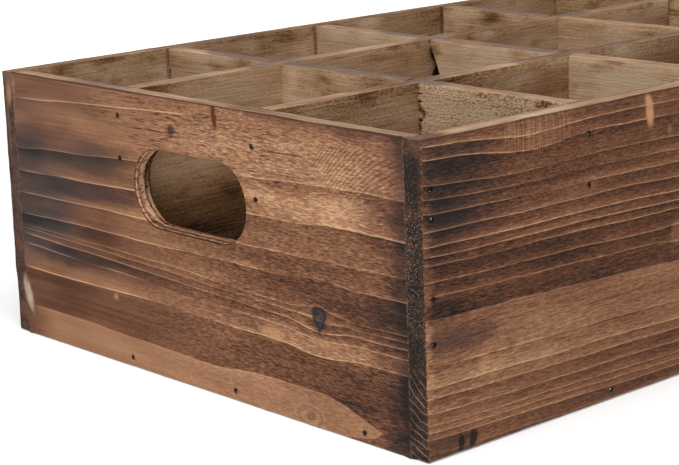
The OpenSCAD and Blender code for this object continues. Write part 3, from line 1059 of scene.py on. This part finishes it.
def wall_finish(name, along, through, plan, heads, thickness, hole=False):
    """The finish of a wall: scorched outside, raw inside, with top, foot, ends, hole and pits"""
    wood = Wood(name, along, (2, 1, 0.0), through)
    paint = colours()
    seed, height = plan["seed"], plan["height"]
    top, foot, ends, cut = edge_masks(wood, plan["length"], height, thickness, 30.0)
    corner = wood.smooth(abs(wood.facing[along[0]] * wood.facing[through[0]]), 0.1, 0.42)
    corner = corner * (1.0 - cut)
    inside = wood.facing_way(through[0], through[1]) * (1.0 - cut) * (1.0 - corner)
    faces = [
        (inside, raw_face(wood, seed + 40, 0.0, plan["inside"])),
        (top, sawn_top(wood, seed + 50, plan["top"], plan["top_greys"], plan["top_browns"])),
        (foot, raw_face(wood, seed + 60, -0.15)), (ends, end_grain(wood, plan)),
    ]
    if hole:
        faces.append((cut, routed_wall(wood, seed + 80)))
    colour, relief, roughness = joined_faces(wood, burnt_face(wood, plan), *faces)
    for place in plan["glue"]:
        line = wood.stripe(wood.s + (wood.noise(9, 9, 3) - 0.5) * 1.6, place, 1.5) * inside
        colour = wood.mix(line * 0.5, colour, tuple(paint.resin))

    # Painted shade along the top arrises, on the outer face's top edge and the top face's outer edge;
    # charred only sets how deep this painted shade is, patchy along the board
    rim_shade = wood.smooth(wood.h, height - 1.5, height - 0.4) * (1.0 - top)
    top_edge_shade = wood.smooth(wood.t, 1.5, 0.7) * top
    arris = (rim_shade + top_edge_shade) * (1.0 - inside)
    charred = wood.smooth(wood.noise(40, 40, seed + 90), 0.3, 0.5) * 0.35 + 0.55
    colour = wood.mix(arris * charred, colour, tuple(paint.dark))
    # The corner where a wall's end meets its neighbour: a real dark joint line with pale specks, and
    # painted shade on its rounded arris
    dotted = wood.smooth(wood.noise(1.6, 1.6, seed + 91), 0.46, 0.56)
    joint_with_shade = wood.mix(dotted, tuple(paint.dark), tuple(paint.top_brown))
    if hole:
        end = wood.math("MINIMUM", wood.s, plan["length"] - wood.s) - thickness
        corner = wood.smooth(end, 0.9, 0.3) * (1.0 - inside)
    colour = wood.mix(corner * plan["joint"], colour, joint_with_shade)

    # Each pit over a brad is painted char: painted shade in the small hole, with a real dark stain
    # round it
    pits = 0.0
    for head in heads:
        s, h = ((head[axis] - start) * way / MM for axis, way, start in wood.board[:2])
        pits = wood.spot(s, h, 1.75, 1.6, core=0.6, ragged=False) + pits
    colour = wood.mix(pits * 0.93, colour, tuple(paint.char))
    return wood.finish(colour, relief, roughness)


# The look of each divider, in millimetres from the left end or the far side, and up.
# light, wool: how pale and how fuzzy its faces are
# torn_from: where the fuzziest wood starts, or 0 for none
# top, greys, browns: burn of its top, then start, end and strength of each smoked or toasted
#   stretch of it
# gap: how dark the joints at its ends look. tints: place, reach, colour, strength.
# patches: place, reach, and how much darker the face is there; a few are painted shade, at a corner
# and behind a split
LONG_DIVIDER_LOOKS = (
    {
        "light": -0.04,
        "top": 0.4,
        "greys": [(88, 114, 0.8), (180, 312, 0.55)],
        "browns": [(54, 108, 0.36), (156, 312, 0.34)],
        "gap": 0.0,
        "wool": 0.5,
        "torn_from": 0,
        "tints": [
            (88, 106, 32, 16, "orange", 0.5), (178, 117, 26, 15, "orange", 0.5),
            (292, 114, 90, 18, "brown", 0.4),
        ],
        "patches": [
            (160, 121, 15, 6, -0.14), (176, 120, 13, 16, 0.12), (24, 112, 50, 12, 0.2),
            (14, 122, 20, 14, 0.24), (95, 126, 26, 6, 0.12), (92, 113, 18, 9, -0.24),
            (118, 114, 16, 8, -0.2), (233, 126, 18, 8, -0.4),
        ],
    },
    {
        "light": 0.0,
        "top": 0.42,
        "greys": [(76, 112, 0.9), (184, 214, 0.6), (288, 316, 0.85)],
        "browns": [(214, 300, 0.2)],
        "gap": 0.0,
        "wool": 0.3,
        "torn_from": 0,
        "tints": [(70, 108, 60, 12, "orange", 0.2)],
        "patches": [
            (228, 118, 20, 12, 0.2), (162, 125, 26, 6, 0.16), (40, 88, 60, 12, -0.16),
            (16, 126, 22, 7, 0.3), (124, 113, 48, 10, -0.5), (210, 115, 16, 9, -0.24),
            # The last patch is painted shadow on this face, in the gap behind the split in the second
            # cross divider
            (233, 126, 13, 6, -0.26), (198.6, 108, 5.4, 34, 1.5),
        ],
    },
)
CROSS_DIVIDER_LOOKS = (
    {
        "light": 0.1,
        "top": 0.4,
        "greys": [(36, 205, 0.9)],
        "browns": [],
        "gap": 0.9,
        "wool": 0.25,
        "torn_from": 190.0,
        "tints": [],
        "patches": [
            (127, 114, 17, 14, 0.12), (170, 122, 24, 12, 0.34), (106, 122, 8, 20, -0.2),
            # The patch at 192.6 is painted shade in the corner where the torn notches meet the near
            # long divider
            (70, 127, 12, 6, 0.36), (40, 121, 34, 16, -0.14), (192.6, 117, 2.4, 15, 0.8),
            (202, 117, 18, 16, -0.36), (268, 128, 8, 6, 0.5), (232, 118, 22, 9, -0.14),
        ],
    },
    {
        "light": 0.27,
        "top": 0.36,
        "greys": [(60, 112, 0.85), (134, 184, 0.8)],
        "browns": [(112, 176, 0.2)],
        "gap": 0.5,
        "wool": 0.2,
        "torn_from": 0,
        "tints": [(132, 114, 38, 18, "raw_light", 0.35)],
        "patches": [
            (66, 110, 22, 12, 0.3), (101, 125, 6, 9, 0.45), (53, 127, 14, 6, -0.16),
            (88, 127, 10, 5, -0.2), (182, 117, 14, 8, -0.34), (224, 116, 22, 9, -0.24),
            (160, 127, 10, 5, 0.25),
        ],
    },
    {
        "light": 0.1,
        "top": 0.4,
        "greys": [(30, 96, 0.8)],
        "browns": [],
        "gap": 0.5,
        "wool": 0.25,
        "torn_from": 0,
        "tints": [],
        "patches": [(50, 126, 17, 7, 0.6)],
    },
)


def divider_finish(name, along, through, length, thickness, seed, look):
    """The finish of a divider: rough raw faces, a sawn top smoked at its crossings, and cuts painted
    dark as painted shade
    """
    height = HIGH.z / MM
    wood = Wood(name, along, (2, 1, 0.0), through)
    top, _, _, cut = edge_masks(wood, length, height, thickness, thickness)
    wool = look["wool"]
    if look["torn_from"]:
        wool = wood.smooth(wood.s, look["torn_from"] - 4.0, look["torn_from"] + 4.0) + wool
    colour, relief, roughness = joined_faces(
        wood,
        raw_face(wood, seed, look["light"], look["patches"], wool),
        (top, sawn_top(wood, seed + 4, look["top"], look["greys"], look["browns"])),
    )
    end = wood.math("MINIMUM", wood.s, length - wood.s) - thickness
    for s, h, reach_s, reach_h, tint, strength in look["tints"]:
        mask = wood.spot(s, h, reach_s, reach_h) * (1.0 - top) * strength
        colour = wood.mix(mask, colour, tuple(getattr(colours(), tint)))
    gap = wood.smooth(end, 1.8, 0.6) * top
    # Slot walls and torn notches are painted char as painted shade in those narrow gaps; the gap
    # share darkens the joints at the divider's ends
    colour = wood.mix(cut + gap * look["gap"], colour, tuple(colours().char))
    return wood.finish(colour, relief, roughness)


def plank_finish():
    """The finish of the base planks: rough raw boards in the full painted shade of the cells' floor,
    browner below
    """
    wood = Wood("plank_wood", (0, 1, LOW.x), (1, 1, LOW.y), (2, 1, LOW.z))
    colour, relief, roughness = raw_face(wood, 91, -0.08)
    below = wood.facing_way(2, -1)
    stained = wood.smooth(wood.noise(80, 18, 92), 0.4, 0.62) * 0.5 + 0.2
    colour = wood.mix(below * stained, colour, tuple(colours().brown))
    return wood.finish(colour, relief, roughness)


def brad_finish():
    """Blackened steel, rubbed bright in specks, which also stand as painted glints"""
    wood = Wood("blackened_steel", (0, 1, 0.0), (2, 1, 0.0), (1, 1, 0.0))
    rubbed = wood.smooth(wood.noise(0.9, 0.9, 5), 0.54, 0.64)
    colour = wood.mix(rubbed, tuple(colours().char), tuple(colours().steel))
    return wood.finish(colour, rubbed * 0.02, 0.42 + rubbed * -0.1, metallic=0.6)


def extent(points):
    """The lowest and the highest corner of some points' box"""
    points = list(points)
    return Vector(map(min, *points)), Vector(map(max, *points))


def thin_axis(low, high):
    """The axis that a board's thickness lies along"""
    return min(range(3), key=lambda axis: high[axis] - low[axis])


def make_active(piece):
    """Makes a piece the active one and the only one selected"""
    bpy.ops.object.select_all(action="DESELECT")
    piece.select_set(True)
    bpy.context.view_layer.objects.active = piece


def select_in_edit(piece, kind, wanted):
    """Selects, in edit mode, the edges or faces that wanted picks, and nothing else"""
    bpy.ops.mesh.select_mode(type=kind)
    bpy.ops.mesh.select_all(action="DESELECT")
    shape = bmesh.from_edit_mesh(piece.data)
    parts = shape.edges if kind == "EDGE" else shape.faces
    for part in parts:
        if wanted(part):
            part.select_set(True)
    bmesh.update_edit_mesh(piece.data)


def settle(piece):
    """Puts the piece's place into its mesh, so that its object sits at the origin"""
    make_active(piece)
    bpy.ops.object.transform_apply(location=True, rotation=True, scale=True)
    return piece


def add_block(name, low, high):
    """A cube primitive between two corners"""
    low, high = Vector(low), Vector(high)
    bpy.ops.object.select_all(action="DESELECT")
    bpy.ops.mesh.primitive_cube_add(size=1.0, location=(low + high) / 2, scale=high - low)
    block = bpy.context.object
    block.name = name
    return settle(block)


def at_flush_joint(point):
    """Whether a point lies where an end board meets a side board on the crate's outside"""
    slack = 1.01 * sizes().arris
    return abs(point.x) > HIGH.x - slack and abs(abs(point.y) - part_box(LEFT_END)[1].y) < slack


def net_board(name, node):
    """A board at a CAD node's place, with a net of faces fine enough to wear

    Its arrises are rounded, except where it meets its neighbour flush.
    """
    low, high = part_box(node)
    board = add_block(name, low, high)
    make_active(board)
    bpy.ops.object.mode_set(mode="EDIT")
    select_in_edit(
        board, "EDGE", lambda edge: not all(at_flush_joint(vertex.co) for vertex in edge.verts)
    )
    bpy.ops.mesh.bevel(offset=sizes().arris, segments=3, profile=0.5, affect="EDGES")
    reach = high - low
    along = max(range(3), key=lambda axis: reach[axis])
    for axis in range(3):
        cell = sizes().net_along if axis == along else sizes().net_across
        cuts = int(reach[axis] / cell) - 1

        def runs_along(edge, axis=axis):
            run = edge.verts[1].co - edge.verts[0].co
            return abs(run[axis]) > 0.6 * reach[axis] and run.length < 1.001 * abs(run[axis])

        select_in_edit(board, "EDGE", runs_along)
        bpy.ops.mesh.subdivide(number_cuts=cuts)
    bpy.ops.object.mode_set(mode="OBJECT")
    return board


def twin(piece, name, shift):
    """A copy of a piece with its own mesh, moved over by a shift"""
    copy = piece.copy()
    copy.data = piece.data.copy()
    copy.name = name
    copy.data.transform(Matrix.Translation(shift))
    bpy.context.collection.objects.link(copy)
    return copy


def like_boards(names, nodes):
    """Boards of one size, one for each node: the first is modelled and the others are copies"""
    boards = [net_board(names[0], nodes[0])]
    for name, node in zip(names[1:], nodes[1:]):
        boards.append(twin(boards[0], name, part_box(node)[0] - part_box(nodes[0])[0]))
    return boards


def wear_edges(board, seed):
    """Rubs the arrises away in patches, always inwards"""
    low, high = extent(Vector(corner) for corner in board.bound_box)
    reach = 1.01 * sizes().arris
    arris = board.vertex_groups.new(name="arris")
    picked = [
        vertex.index
        for vertex in board.data.vertices
        if sum(
            vertex.co[axis] < low[axis] + reach or vertex.co[axis] > high[axis] - reach
            for axis in range(3)
        )
        > 1
        and not at_flush_joint(vertex.co)
    ]
    arris.add(picked, 1.0, "REPLACE")
    for size, depth in ((1.0, 1.0), (0.35, 0.6)):
        cloud = bpy.data.textures.new(f"wear_{board.name}", "CLOUDS")
        cloud.noise_scale = sizes().wear_patch * size * (1.0 + 0.07 * seed)
        wear = board.modifiers.new("wear", "DISPLACE")
        wear.texture = cloud
        wear.texture_coords = "LOCAL"
        wear.vertex_group = "arris"
        wear.mid_level = 1.0
        wear.strength = sizes().arris_wear * depth
        make_active(board)
        bpy.ops.object.modifier_apply(modifier=wear.name)


def carve(board, cutters):
    """Takes the cutters out of a board, one after the other"""
    for cutter in cutters:
        make_active(cutter)
        bpy.ops.object.mode_set(mode="EDIT")
        bpy.ops.mesh.select_all(action="SELECT")
        bpy.ops.mesh.quads_convert_to_tris()
        bpy.ops.mesh.normals_make_consistent(inside=False)
        bpy.ops.object.mode_set(mode="OBJECT")
        cut = board.modifiers.new("cut", "BOOLEAN")
        cut.operation = "DIFFERENCE"
        cut.solver = "EXACT"
        cut.object = cutter
        make_active(board)
        bpy.ops.object.modifier_apply(modifier=cut.name)
        bpy.data.objects.remove(cutter)


def joined(cutters):
    """Several cutters as one object"""
    bpy.ops.object.select_all(action="DESELECT")
    for cutter in cutters:
        cutter.select_set(True)
    bpy.context.view_layer.objects.active = cutters[0]
    bpy.ops.object.join()
    return cutters[0]


def check_whole(piece, node):
    """Stops the script if a board doesn't fill its CAD node's box, and prints its open edges"""
    if not piece.data.vertices:
        raise RuntimeError(f"{piece.name} was cut away")
    ends = extent(vertex.co for vertex in piece.data.vertices)
    if any((end - corner).length > 2 * MM for end, corner in zip(ends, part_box(node))):
        raise RuntimeError(f"{piece.name} doesn't fill the place of {node}")
    shape = bmesh.new()
    shape.from_mesh(piece.data)
    ragged = sum(not edge.is_manifold for edge in shape.edges)
    shape.free()
    if ragged:
        print(f"{piece.name} has {ragged} edges that aren't shared by two faces")


def complete(piece, material, node):
    """Cleans up a finished board, gives it its finish and lets it stand for its CAD node"""
    make_active(piece)
    bpy.ops.object.mode_set(mode="EDIT")
    bpy.ops.mesh.select_all(action="SELECT")
    bpy.ops.mesh.remove_doubles(threshold=SAME_POINT)
    bpy.ops.mesh.normals_make_consistent(inside=False)
    bpy.ops.object.mode_set(mode="OBJECT")
    check_whole(piece, node)
    bpy.ops.object.shade_smooth_by_angle(angle=SMOOTH_ANGLE)
    piece.data.materials.clear()
    piece.data.materials.append(material)
    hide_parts(node)
    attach(piece, BODY)


def brads_in(node):
    """The lowest and highest corner of each brad in a CAD node, in a fixed order"""
    shape = bmesh.new()
    shape.from_mesh(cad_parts[node].data)
    bmesh.ops.remove_doubles(shape, verts=shape.verts, dist=SAME_POINT)
    waiting = set(shape.verts)
    found = []
    while waiting:
        island = [waiting.pop()]
        for vertex in island:
            for edge in vertex.link_edges:
                other = edge.other_vert(vertex)
                if other in waiting:
                    waiting.remove(other)
                    island.append(other)
        found.append(extent(vertex.co.copy() for vertex in island))
    shape.free()
    return sorted(found, key=lambda corners: tuple(corners[0]))


def brad_heads(node):
    """Places on a wall's outer face of the brads driven into it, each with its head's depth"""
    low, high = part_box(node)
    across = thin_axis(low, high)
    outward = 1.0 if low[across] + high[across] > 0 else -1.0
    face = high[across] if outward > 0 else low[across]
    heads = []
    for brads in BRAD_NODES:
        for brad_low, brad_high in brads_in(brads):
            head = brad_high[across] if outward > 0 else brad_low[across]
            place = (brad_low + brad_high) / 2
            beside = all(
                low[axis] - MM < place[axis] < high[axis] + MM
                for axis in range(3)
                if axis != across
            )
            depth = abs(face - head)
            if beside and depth < DEEPEST_HEAD:
                place[across] = face
                heads.append((place, depth, across))
    return heads


def pit_cutters(heads):
    """Small rough pits over the heads of brads"""
    cutters = []
    for place, depth, across in heads:
        turn = (0.0, math.pi / 2, 0.0) if across == 0 else (math.pi / 2, 0.0, 0.0)
        bpy.ops.object.select_all(action="DESELECT")
        bpy.ops.mesh.primitive_cylinder_add(
            vertices=10, radius=sizes().brad_pit / 2, depth=2 * depth, location=place, rotation=turn
        )
        cutters.append(settle(bpy.context.object))
        bpy.ops.object.mode_set(mode="EDIT")
        bpy.ops.mesh.select_all(action="SELECT")
        bpy.ops.transform.vertex_random(offset=0.12 * MM, seed=len(cutters))
        bpy.ops.object.mode_set(mode="OBJECT")
    return joined(cutters)


# The hand holes of both ends, in metres, and the ridges in their walls: share of the way through
# the board, share of the ridges' depth
HAND_HOLE = {"y": 0.0015, "z": 0.0875, "width": 0.078, "height": 0.0355}
HOLE_RIDGES = ((0.12, 0.1), (0.3, 0.9), (0.42, 0.15), (0.6, 1.0), (0.72, 0.2), (0.88, 0.6))


def hand_hole_cutter(node, name):
    """The form that a router leaves: an obround with flared rims and shallow ridges in its wall"""
    low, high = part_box(node)
    radius = HAND_HOLE["height"] / 2
    half_straight = (HAND_HOLE["width"] - HAND_HOLE["height"]) / 2
    outward = -1.0 if low.x < 0 else 1.0
    start = (low.x if outward < 0 else high.x) + outward * OVERSHOOT
    centre = (start, HAND_HOLE["y"], HAND_HOLE["z"])
    bpy.ops.object.select_all(action="DESELECT")
    bpy.ops.mesh.primitive_circle_add(
        vertices=56,
        radius=radius,
        fill_type="NGON",
        location=centre,
        rotation=(0.0, math.pi / 2, 0.0),
    )
    cutter = settle(bpy.context.object)
    cutter.name = name
    bpy.ops.object.mode_set(mode="EDIT")
    bpy.ops.mesh.select_mode(type="VERT")
    for way in (-1, 1):
        bpy.ops.mesh.select_all(action="DESELECT")
        shape = bmesh.from_edit_mesh(cutter.data)
        for vertex in shape.verts:
            if (vertex.co.y - HAND_HOLE["y"]) * way > SAME_POINT:
                vertex.select_set(True)
        bmesh.update_edit_mesh(cutter.data)
        bpy.ops.transform.translate(value=(0.0, way * half_straight, 0.0))
    bpy.ops.mesh.select_all(action="SELECT")
    thickness = high.x - low.x
    rim, ridge = sizes().hole_rim, sizes().hole_ridge
    curve = [
        (rim * (1 - math.cos(angle)), rim * (1 - math.sin(angle)))
        for angle in (math.radians(30), math.radians(60), math.radians(90))
    ]
    inner = thickness - 2 * rim
    steps = [(0.0, rim), (OVERSHOOT, rim)]
    steps += [(OVERSHOOT + depth, grow) for depth, grow in curve]
    steps += [(OVERSHOOT + rim + inner * share, -ridge * depth) for share, depth in HOLE_RIDGES]
    steps += [(OVERSHOOT + thickness - depth, grow) for depth, grow in reversed(curve)]
    steps += [(OVERSHOOT + thickness, rim), (2 * OVERSHOOT + thickness, rim)]
    grown = 0.0
    travelled = 0.0
    for index, (depth, grow) in enumerate(steps):
        if index:
            bpy.ops.mesh.extrude_region_move(
                TRANSFORM_OT_translate={"value": (-outward * (depth - travelled), 0.0, 0.0)}
            )
        wide = (half_straight + radius + grow) / (half_straight + radius + grown)
        tall = (radius + grow) / (radius + grown)
        bpy.ops.transform.resize(value=(1.0, wide, tall), center_override=centre)
        travelled, grown = depth, grow
    bpy.ops.mesh.select_all(action="SELECT")
    bpy.ops.mesh.normals_make_consistent(inside=False)
    bpy.ops.object.mode_set(mode="OBJECT")
    return cutter


def slot_cutter(board_node, other_node, from_below):
    """The slot that one divider needs where another crosses it, half as tall as the board"""
    low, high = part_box(board_node)
    other_low, other_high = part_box(other_node)
    across = thin_axis(low, high)
    along = 1 - across
    middle = (low.z + high.z) / 2
    play = sizes().slot_play / 2
    start, end = low.copy(), high.copy()
    start[along] = other_low[along] - play
    end[along] = other_high[along] + play
    start[across] -= MM
    end[across] += MM
    if from_below:
        start.z, end.z = low.z - MM, middle
    else:
        start.z, end.z = middle, high.z + MM
    return add_block("slot", start, end)


def torn_notches(x, y, heights):
    """Splinters torn from a slot's edge: small wedges that point away from the slot"""
    tear = sizes().tear
    cutters = []
    for index, z in enumerate(heights):
        size = tear * (0.8 + 0.15 * (index % 2))
        bpy.ops.object.select_all(action="DESELECT")
        bpy.ops.mesh.primitive_cone_add(
            vertices=5,
            radius1=size * 0.6,
            radius2=0.0,
            depth=2.2 * size,
            location=(x, y - 0.5 * size, z),
            rotation=(math.pi / 2, 0.3 * index, 0.0),
            scale=(2.6, 1.0, 1.0),
        )
        cutters.append(settle(bpy.context.object))
    return joined(cutters)


def split_cutter(low, high, growth):
    """A splinter gone from a slot's edge: a ragged wedge, wider at its foot by growth"""
    cutter = add_block("split", low, high)
    width = high[1] - low[1]
    bpy.ops.object.mode_set(mode="EDIT")
    select_in_edit(cutter, "FACE", lambda face: face.normal.z < -0.9)
    bpy.ops.transform.resize(
        value=(1.0, (width + growth) / width, 1.0), center_override=(low[0], high[1], low[2])
    )
    bpy.ops.mesh.select_all(action="SELECT")
    bpy.ops.mesh.subdivide(number_cuts=4)
    bpy.ops.transform.vertex_random(offset=0.35 * MM, seed=4)
    bpy.ops.object.mode_set(mode="OBJECT")
    return cutter


def thickness(node):
    """A board's thickness in millimetres"""
    low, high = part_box(node)
    return min(high - low) / MM


def dress_wall(board, node, along, through, plan, slot, hole=False):
    """Wears and cuts a wall, with a pit over each brad's head, and gives it its finish"""
    wear_edges(board, plan["seed"] % 5)
    heads = brad_heads(node)
    cutters = [hand_hole_cutter(node, f"{node}_hole")] if hole else []
    carve(board, [*cutters, pit_cutters(heads)])
    places = [place for place, _, _ in heads]
    finish = wall_finish(f"{node}_wood", along, through, plan, places, thickness(node), hole)
    complete(board, finish, node)


class CRATE_OT_side_boards(bpy.types.Operator):
    """Make the two long walls, which run the whole length of the crate"""

    bl_idname = "crate.side_boards"
    bl_label = "Side boards"

    def execute(self, context):
        near = net_board("worn_near_side", NEAR_SIDE)
        far = net_board("worn_far_side", FAR_SIDE)
        dress_wall(near, NEAR_SIDE, (0, 1, LOW.x), (1, 1, LOW.y), NEAR_SIDE_PLAN, "side_wood")
        dress_wall(far, FAR_SIDE, (0, -1, HIGH.x), (1, -1, HIGH.y), FAR_SIDE_PLAN, "side_wood")
        return {"FINISHED"}


class CRATE_OT_end_boards(bpy.types.Operator):
    """Make the two end walls, each with a routed hand hole"""

    bl_idname = "crate.end_boards"
    bl_label = "End boards"

    def execute(self, context):
        left = net_board("worn_left_end", LEFT_END)
        right = net_board("worn_right_end", RIGHT_END)
        walls = (
            (left, LEFT_END, (1, -1, HIGH.y), (0, 1, LOW.x), LEFT_END_PLAN),
            (right, RIGHT_END, (1, 1, LOW.y), (0, -1, HIGH.x), RIGHT_END_PLAN),
        )
        for wall in walls:
            dress_wall(*wall, "end_wood", hole=True)
        return {"FINISHED"}


class CRATE_OT_base_planks(bpy.types.Operator):
    """Make the three planks of the base"""

    bl_idname = "crate.base_planks"
    bl_label = "Base planks"

    def execute(self, context):
        names = ("worn_plank_near", "worn_base_plank_middle", "worn_base_plank_far")
        boards = like_boards(names, PLANKS)
        finish = plank_finish()
        for index, (board, node) in enumerate(zip(boards, PLANKS)):
            wear_edges(board, index)
            complete(board, finish, node)
        return {"FINISHED"}


class CRATE_OT_long_dividers(bpy.types.Operator):
    """Make the dividers that run the crate's length, slotted from below"""

    bl_idname = "crate.long_dividers"
    bl_label = "Long dividers"

    def execute(self, context):
        boards = like_boards([f"worn_{node}" for node in LONG_DIVIDERS], LONG_DIVIDERS)
        for index, (board, node) in enumerate(zip(boards, LONG_DIVIDERS)):
            wear_edges(board, 2 + index)
            carve(board, [joined([slot_cutter(node, other, True) for other in CROSS_DIVIDERS])])
            finish = divider_finish(
                f"{node}_wood",
                (0, 1, LOW.x),
                (1, 1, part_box(node)[0].y),
                (HIGH.x - LOW.x) / MM,
                thickness(node),
                51 + 7 * index,
                LONG_DIVIDER_LOOKS[index],
            )
            complete(board, finish, node)
        return {"FINISHED"}


class CRATE_OT_cross_dividers(bpy.types.Operator):
    """Make the dividers that run across the crate, slotted from above"""

    bl_idname = "crate.cross_dividers"
    bl_label = "Cross dividers"

    def execute(self, context):
        boards = like_boards([f"worn_{node}" for node in CROSS_DIVIDERS], CROSS_DIVIDERS)
        for index, (board, node) in enumerate(zip(boards, CROSS_DIVIDERS)):
            wear_edges(board, index)
            low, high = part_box(node)
            cutters = [joined([slot_cutter(node, other, False) for other in LONG_DIVIDERS])]
            if index == 0:
                heights = [z * MM for z in NOTCH_HEIGHTS]
                cutters.append(torn_notches(low.x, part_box(LONG_DIVIDERS[0])[0].y, heights))
            if index == 1:
                far_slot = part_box(LONG_DIVIDERS[1])[0].y
                split_low = (low.x - MM, far_slot - 0.7 * MM, high.z - 33 * MM)
                split_high = (low.x + 6.5 * MM, far_slot + MM, high.z - 4 * MM)
                cutters.append(split_cutter(split_low, split_high, 13 * MM))
            carve(board, cutters)
            finish = divider_finish(
                f"{node}_wood",
                (1, -1, HIGH.y),
                (0, 1, low.x),
                (HIGH.y - LOW.y) / MM,
                thickness(node),
                65 + 9 * index,
                CROSS_DIVIDER_LOOKS[index],
            )
            complete(board, finish, node)
        return {"FINISHED"}


class CRATE_OT_brads(bpy.types.Operator):
    """Give the brads, which stay as packed, their blackened steel"""

    bl_idname = "crate.brads"
    bl_label = "Brads"

    def execute(self, context):
        steel = brad_finish()
        for name in BRAD_NODES:
            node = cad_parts[name]
            if not node.material_slots:
                raise RuntimeError(f"{name} has no material slot")
            for slot in node.material_slots:
                slot.material = steel
        return {"FINISHED"}


def add_lamp(name, place, target, size, power):
    """A large soft lamp that faces its target"""
    lamp = bpy.data.lights.new(name, "AREA")
    lamp.shape = "RECTANGLE"
    lamp.size, lamp.size_y = size
    lamp.energy = power
    holder = bpy.data.objects.new(name, lamp)
    holder.location = place
    holder.rotation_euler = (Vector(target) - Vector(place)).to_track_quat("-Z", "Y").to_euler()
    bpy.context.collection.objects.link(holder)


class CRATE_OT_stage(bpy.types.Operator):
    """Set the floor, the soft light and the camera"""

    bl_idname = "crate.stage"
    bl_label = "Stage"

    def execute(self, context):
        stage = context.scene.crate_stage
        bpy.ops.object.select_all(action="DESELECT")
        bpy.ops.mesh.primitive_plane_add(size=14.0, location=(0.0, 0.0, LOW.z))
        floor = settle(context.object)
        floor.name = "studio_floor"
        wood = Wood("studio_floor", (0, 1, 0.0), (1, 1, 0.0), (2, 1, 0.0))
        grain = wood.noise(40, 40, 2)
        tone = wood.mix(grain * 0.05, tuple(colours().floor), shade(*(FLOOR_CLOUD,) * 3))
        material = wood.finish(tone, grain * 0.02, 0.9, specular=0.1)
        shader = material.node_tree.nodes["Principled BSDF"]
        away = wood.smooth(wood.vector("LENGTH", wood.place, output=1), *FLOOR_FADE)
        glow = wood.mix(away, (stage.glow,) * 3, (FAR_GLOW,) * 3)
        wood.tree.links.new(glow.socket, shader.inputs["Emission Color"])
        shader.inputs["Emission Strength"].default_value = 1.0
        floor.data.materials.append(material)

        world = bpy.data.worlds.new("soft_surround")
        world.use_nodes = True
        surround = world.node_tree.nodes["Background"]
        surround.inputs["Color"].default_value = (1.0, 1.0, 1.0, 1.0)
        surround.inputs["Strength"].default_value = stage.sky
        context.scene.world = world

        middle = (LOW + HIGH) / 2
        add_lamp("key", (-0.7, -0.4, 1.5), middle, (1.3, 1.0), stage.key)
        add_lamp("fill", (-1.5, -1.2, 0.7), middle, (1.2, 1.0), stage.fill)

        lens = bpy.data.cameras.new("camera")
        lens.lens = stage.lens
        lens.sensor_width = 36.0
        lens.clip_start = 0.01
        camera = bpy.data.objects.new("camera", lens)
        heading = Matrix.Rotation(stage.heading - math.pi / 2, 4, "Z")
        tilt = Matrix.Rotation(math.pi / 2 - stage.pitch, 4, "X")
        lean = Matrix.Rotation(-stage.roll, 4, "Z")
        camera.matrix_world = Matrix.Translation(stage.eye) @ heading @ tilt @ lean
        context.collection.objects.link(camera)
        context.scene.camera = camera
        context.scene.view_settings.view_transform = "Standard"
        return {"FINISHED"}


class CRATE_PT_panel(bpy.types.Panel):
    """The crate's sizes, colours and steps"""

    bl_label = "Scorched Crate"
    bl_space_type = "VIEW_3D"
    bl_region_type = "UI"
    bl_category = "Crate"

    def draw(self, context):
        for group_name, _ in GROUPS:
            group = getattr(context.scene, group_name)
            box = self.layout.box()
            for name in group.__annotations__:
                box.prop(group, name)
        for step in STEPS:
            self.layout.operator(step.bl_idname)


GROUPS = (
    ("crate_sizes", CrateSizes),
    ("crate_colours", CrateColours),
    ("crate_stage", CrateStage),
)
STEPS = (
    CRATE_OT_side_boards,
    CRATE_OT_end_boards,
    CRATE_OT_base_planks,
    CRATE_OT_long_dividers,
    CRATE_OT_cross_dividers,
    CRATE_OT_brads,
    CRATE_OT_stage,
)


def register():
    for name, group in GROUPS:
        bpy.utils.register_class(group)
        setattr(bpy.types.Scene, name, PointerProperty(type=group))
    for step in STEPS:
        bpy.utils.register_class(step)
    bpy.utils.register_class(CRATE_PT_panel)


def unregister():
    bpy.utils.unregister_class(CRATE_PT_panel)
    for step in reversed(STEPS):
        bpy.utils.unregister_class(step)
    for name, group in reversed(GROUPS):
        delattr(bpy.types.Scene, name)
        bpy.utils.unregister_class(group)


def main():
    register()
    bpy.ops.crate.side_boards()
    bpy.ops.crate.end_boards()
    bpy.ops.crate.base_planks()
    bpy.ops.crate.long_dividers()
    bpy.ops.crate.cross_dividers()
    bpy.ops.crate.brads()
    bpy.ops.crate.stage()


if __name__ == "__main__":
    main()
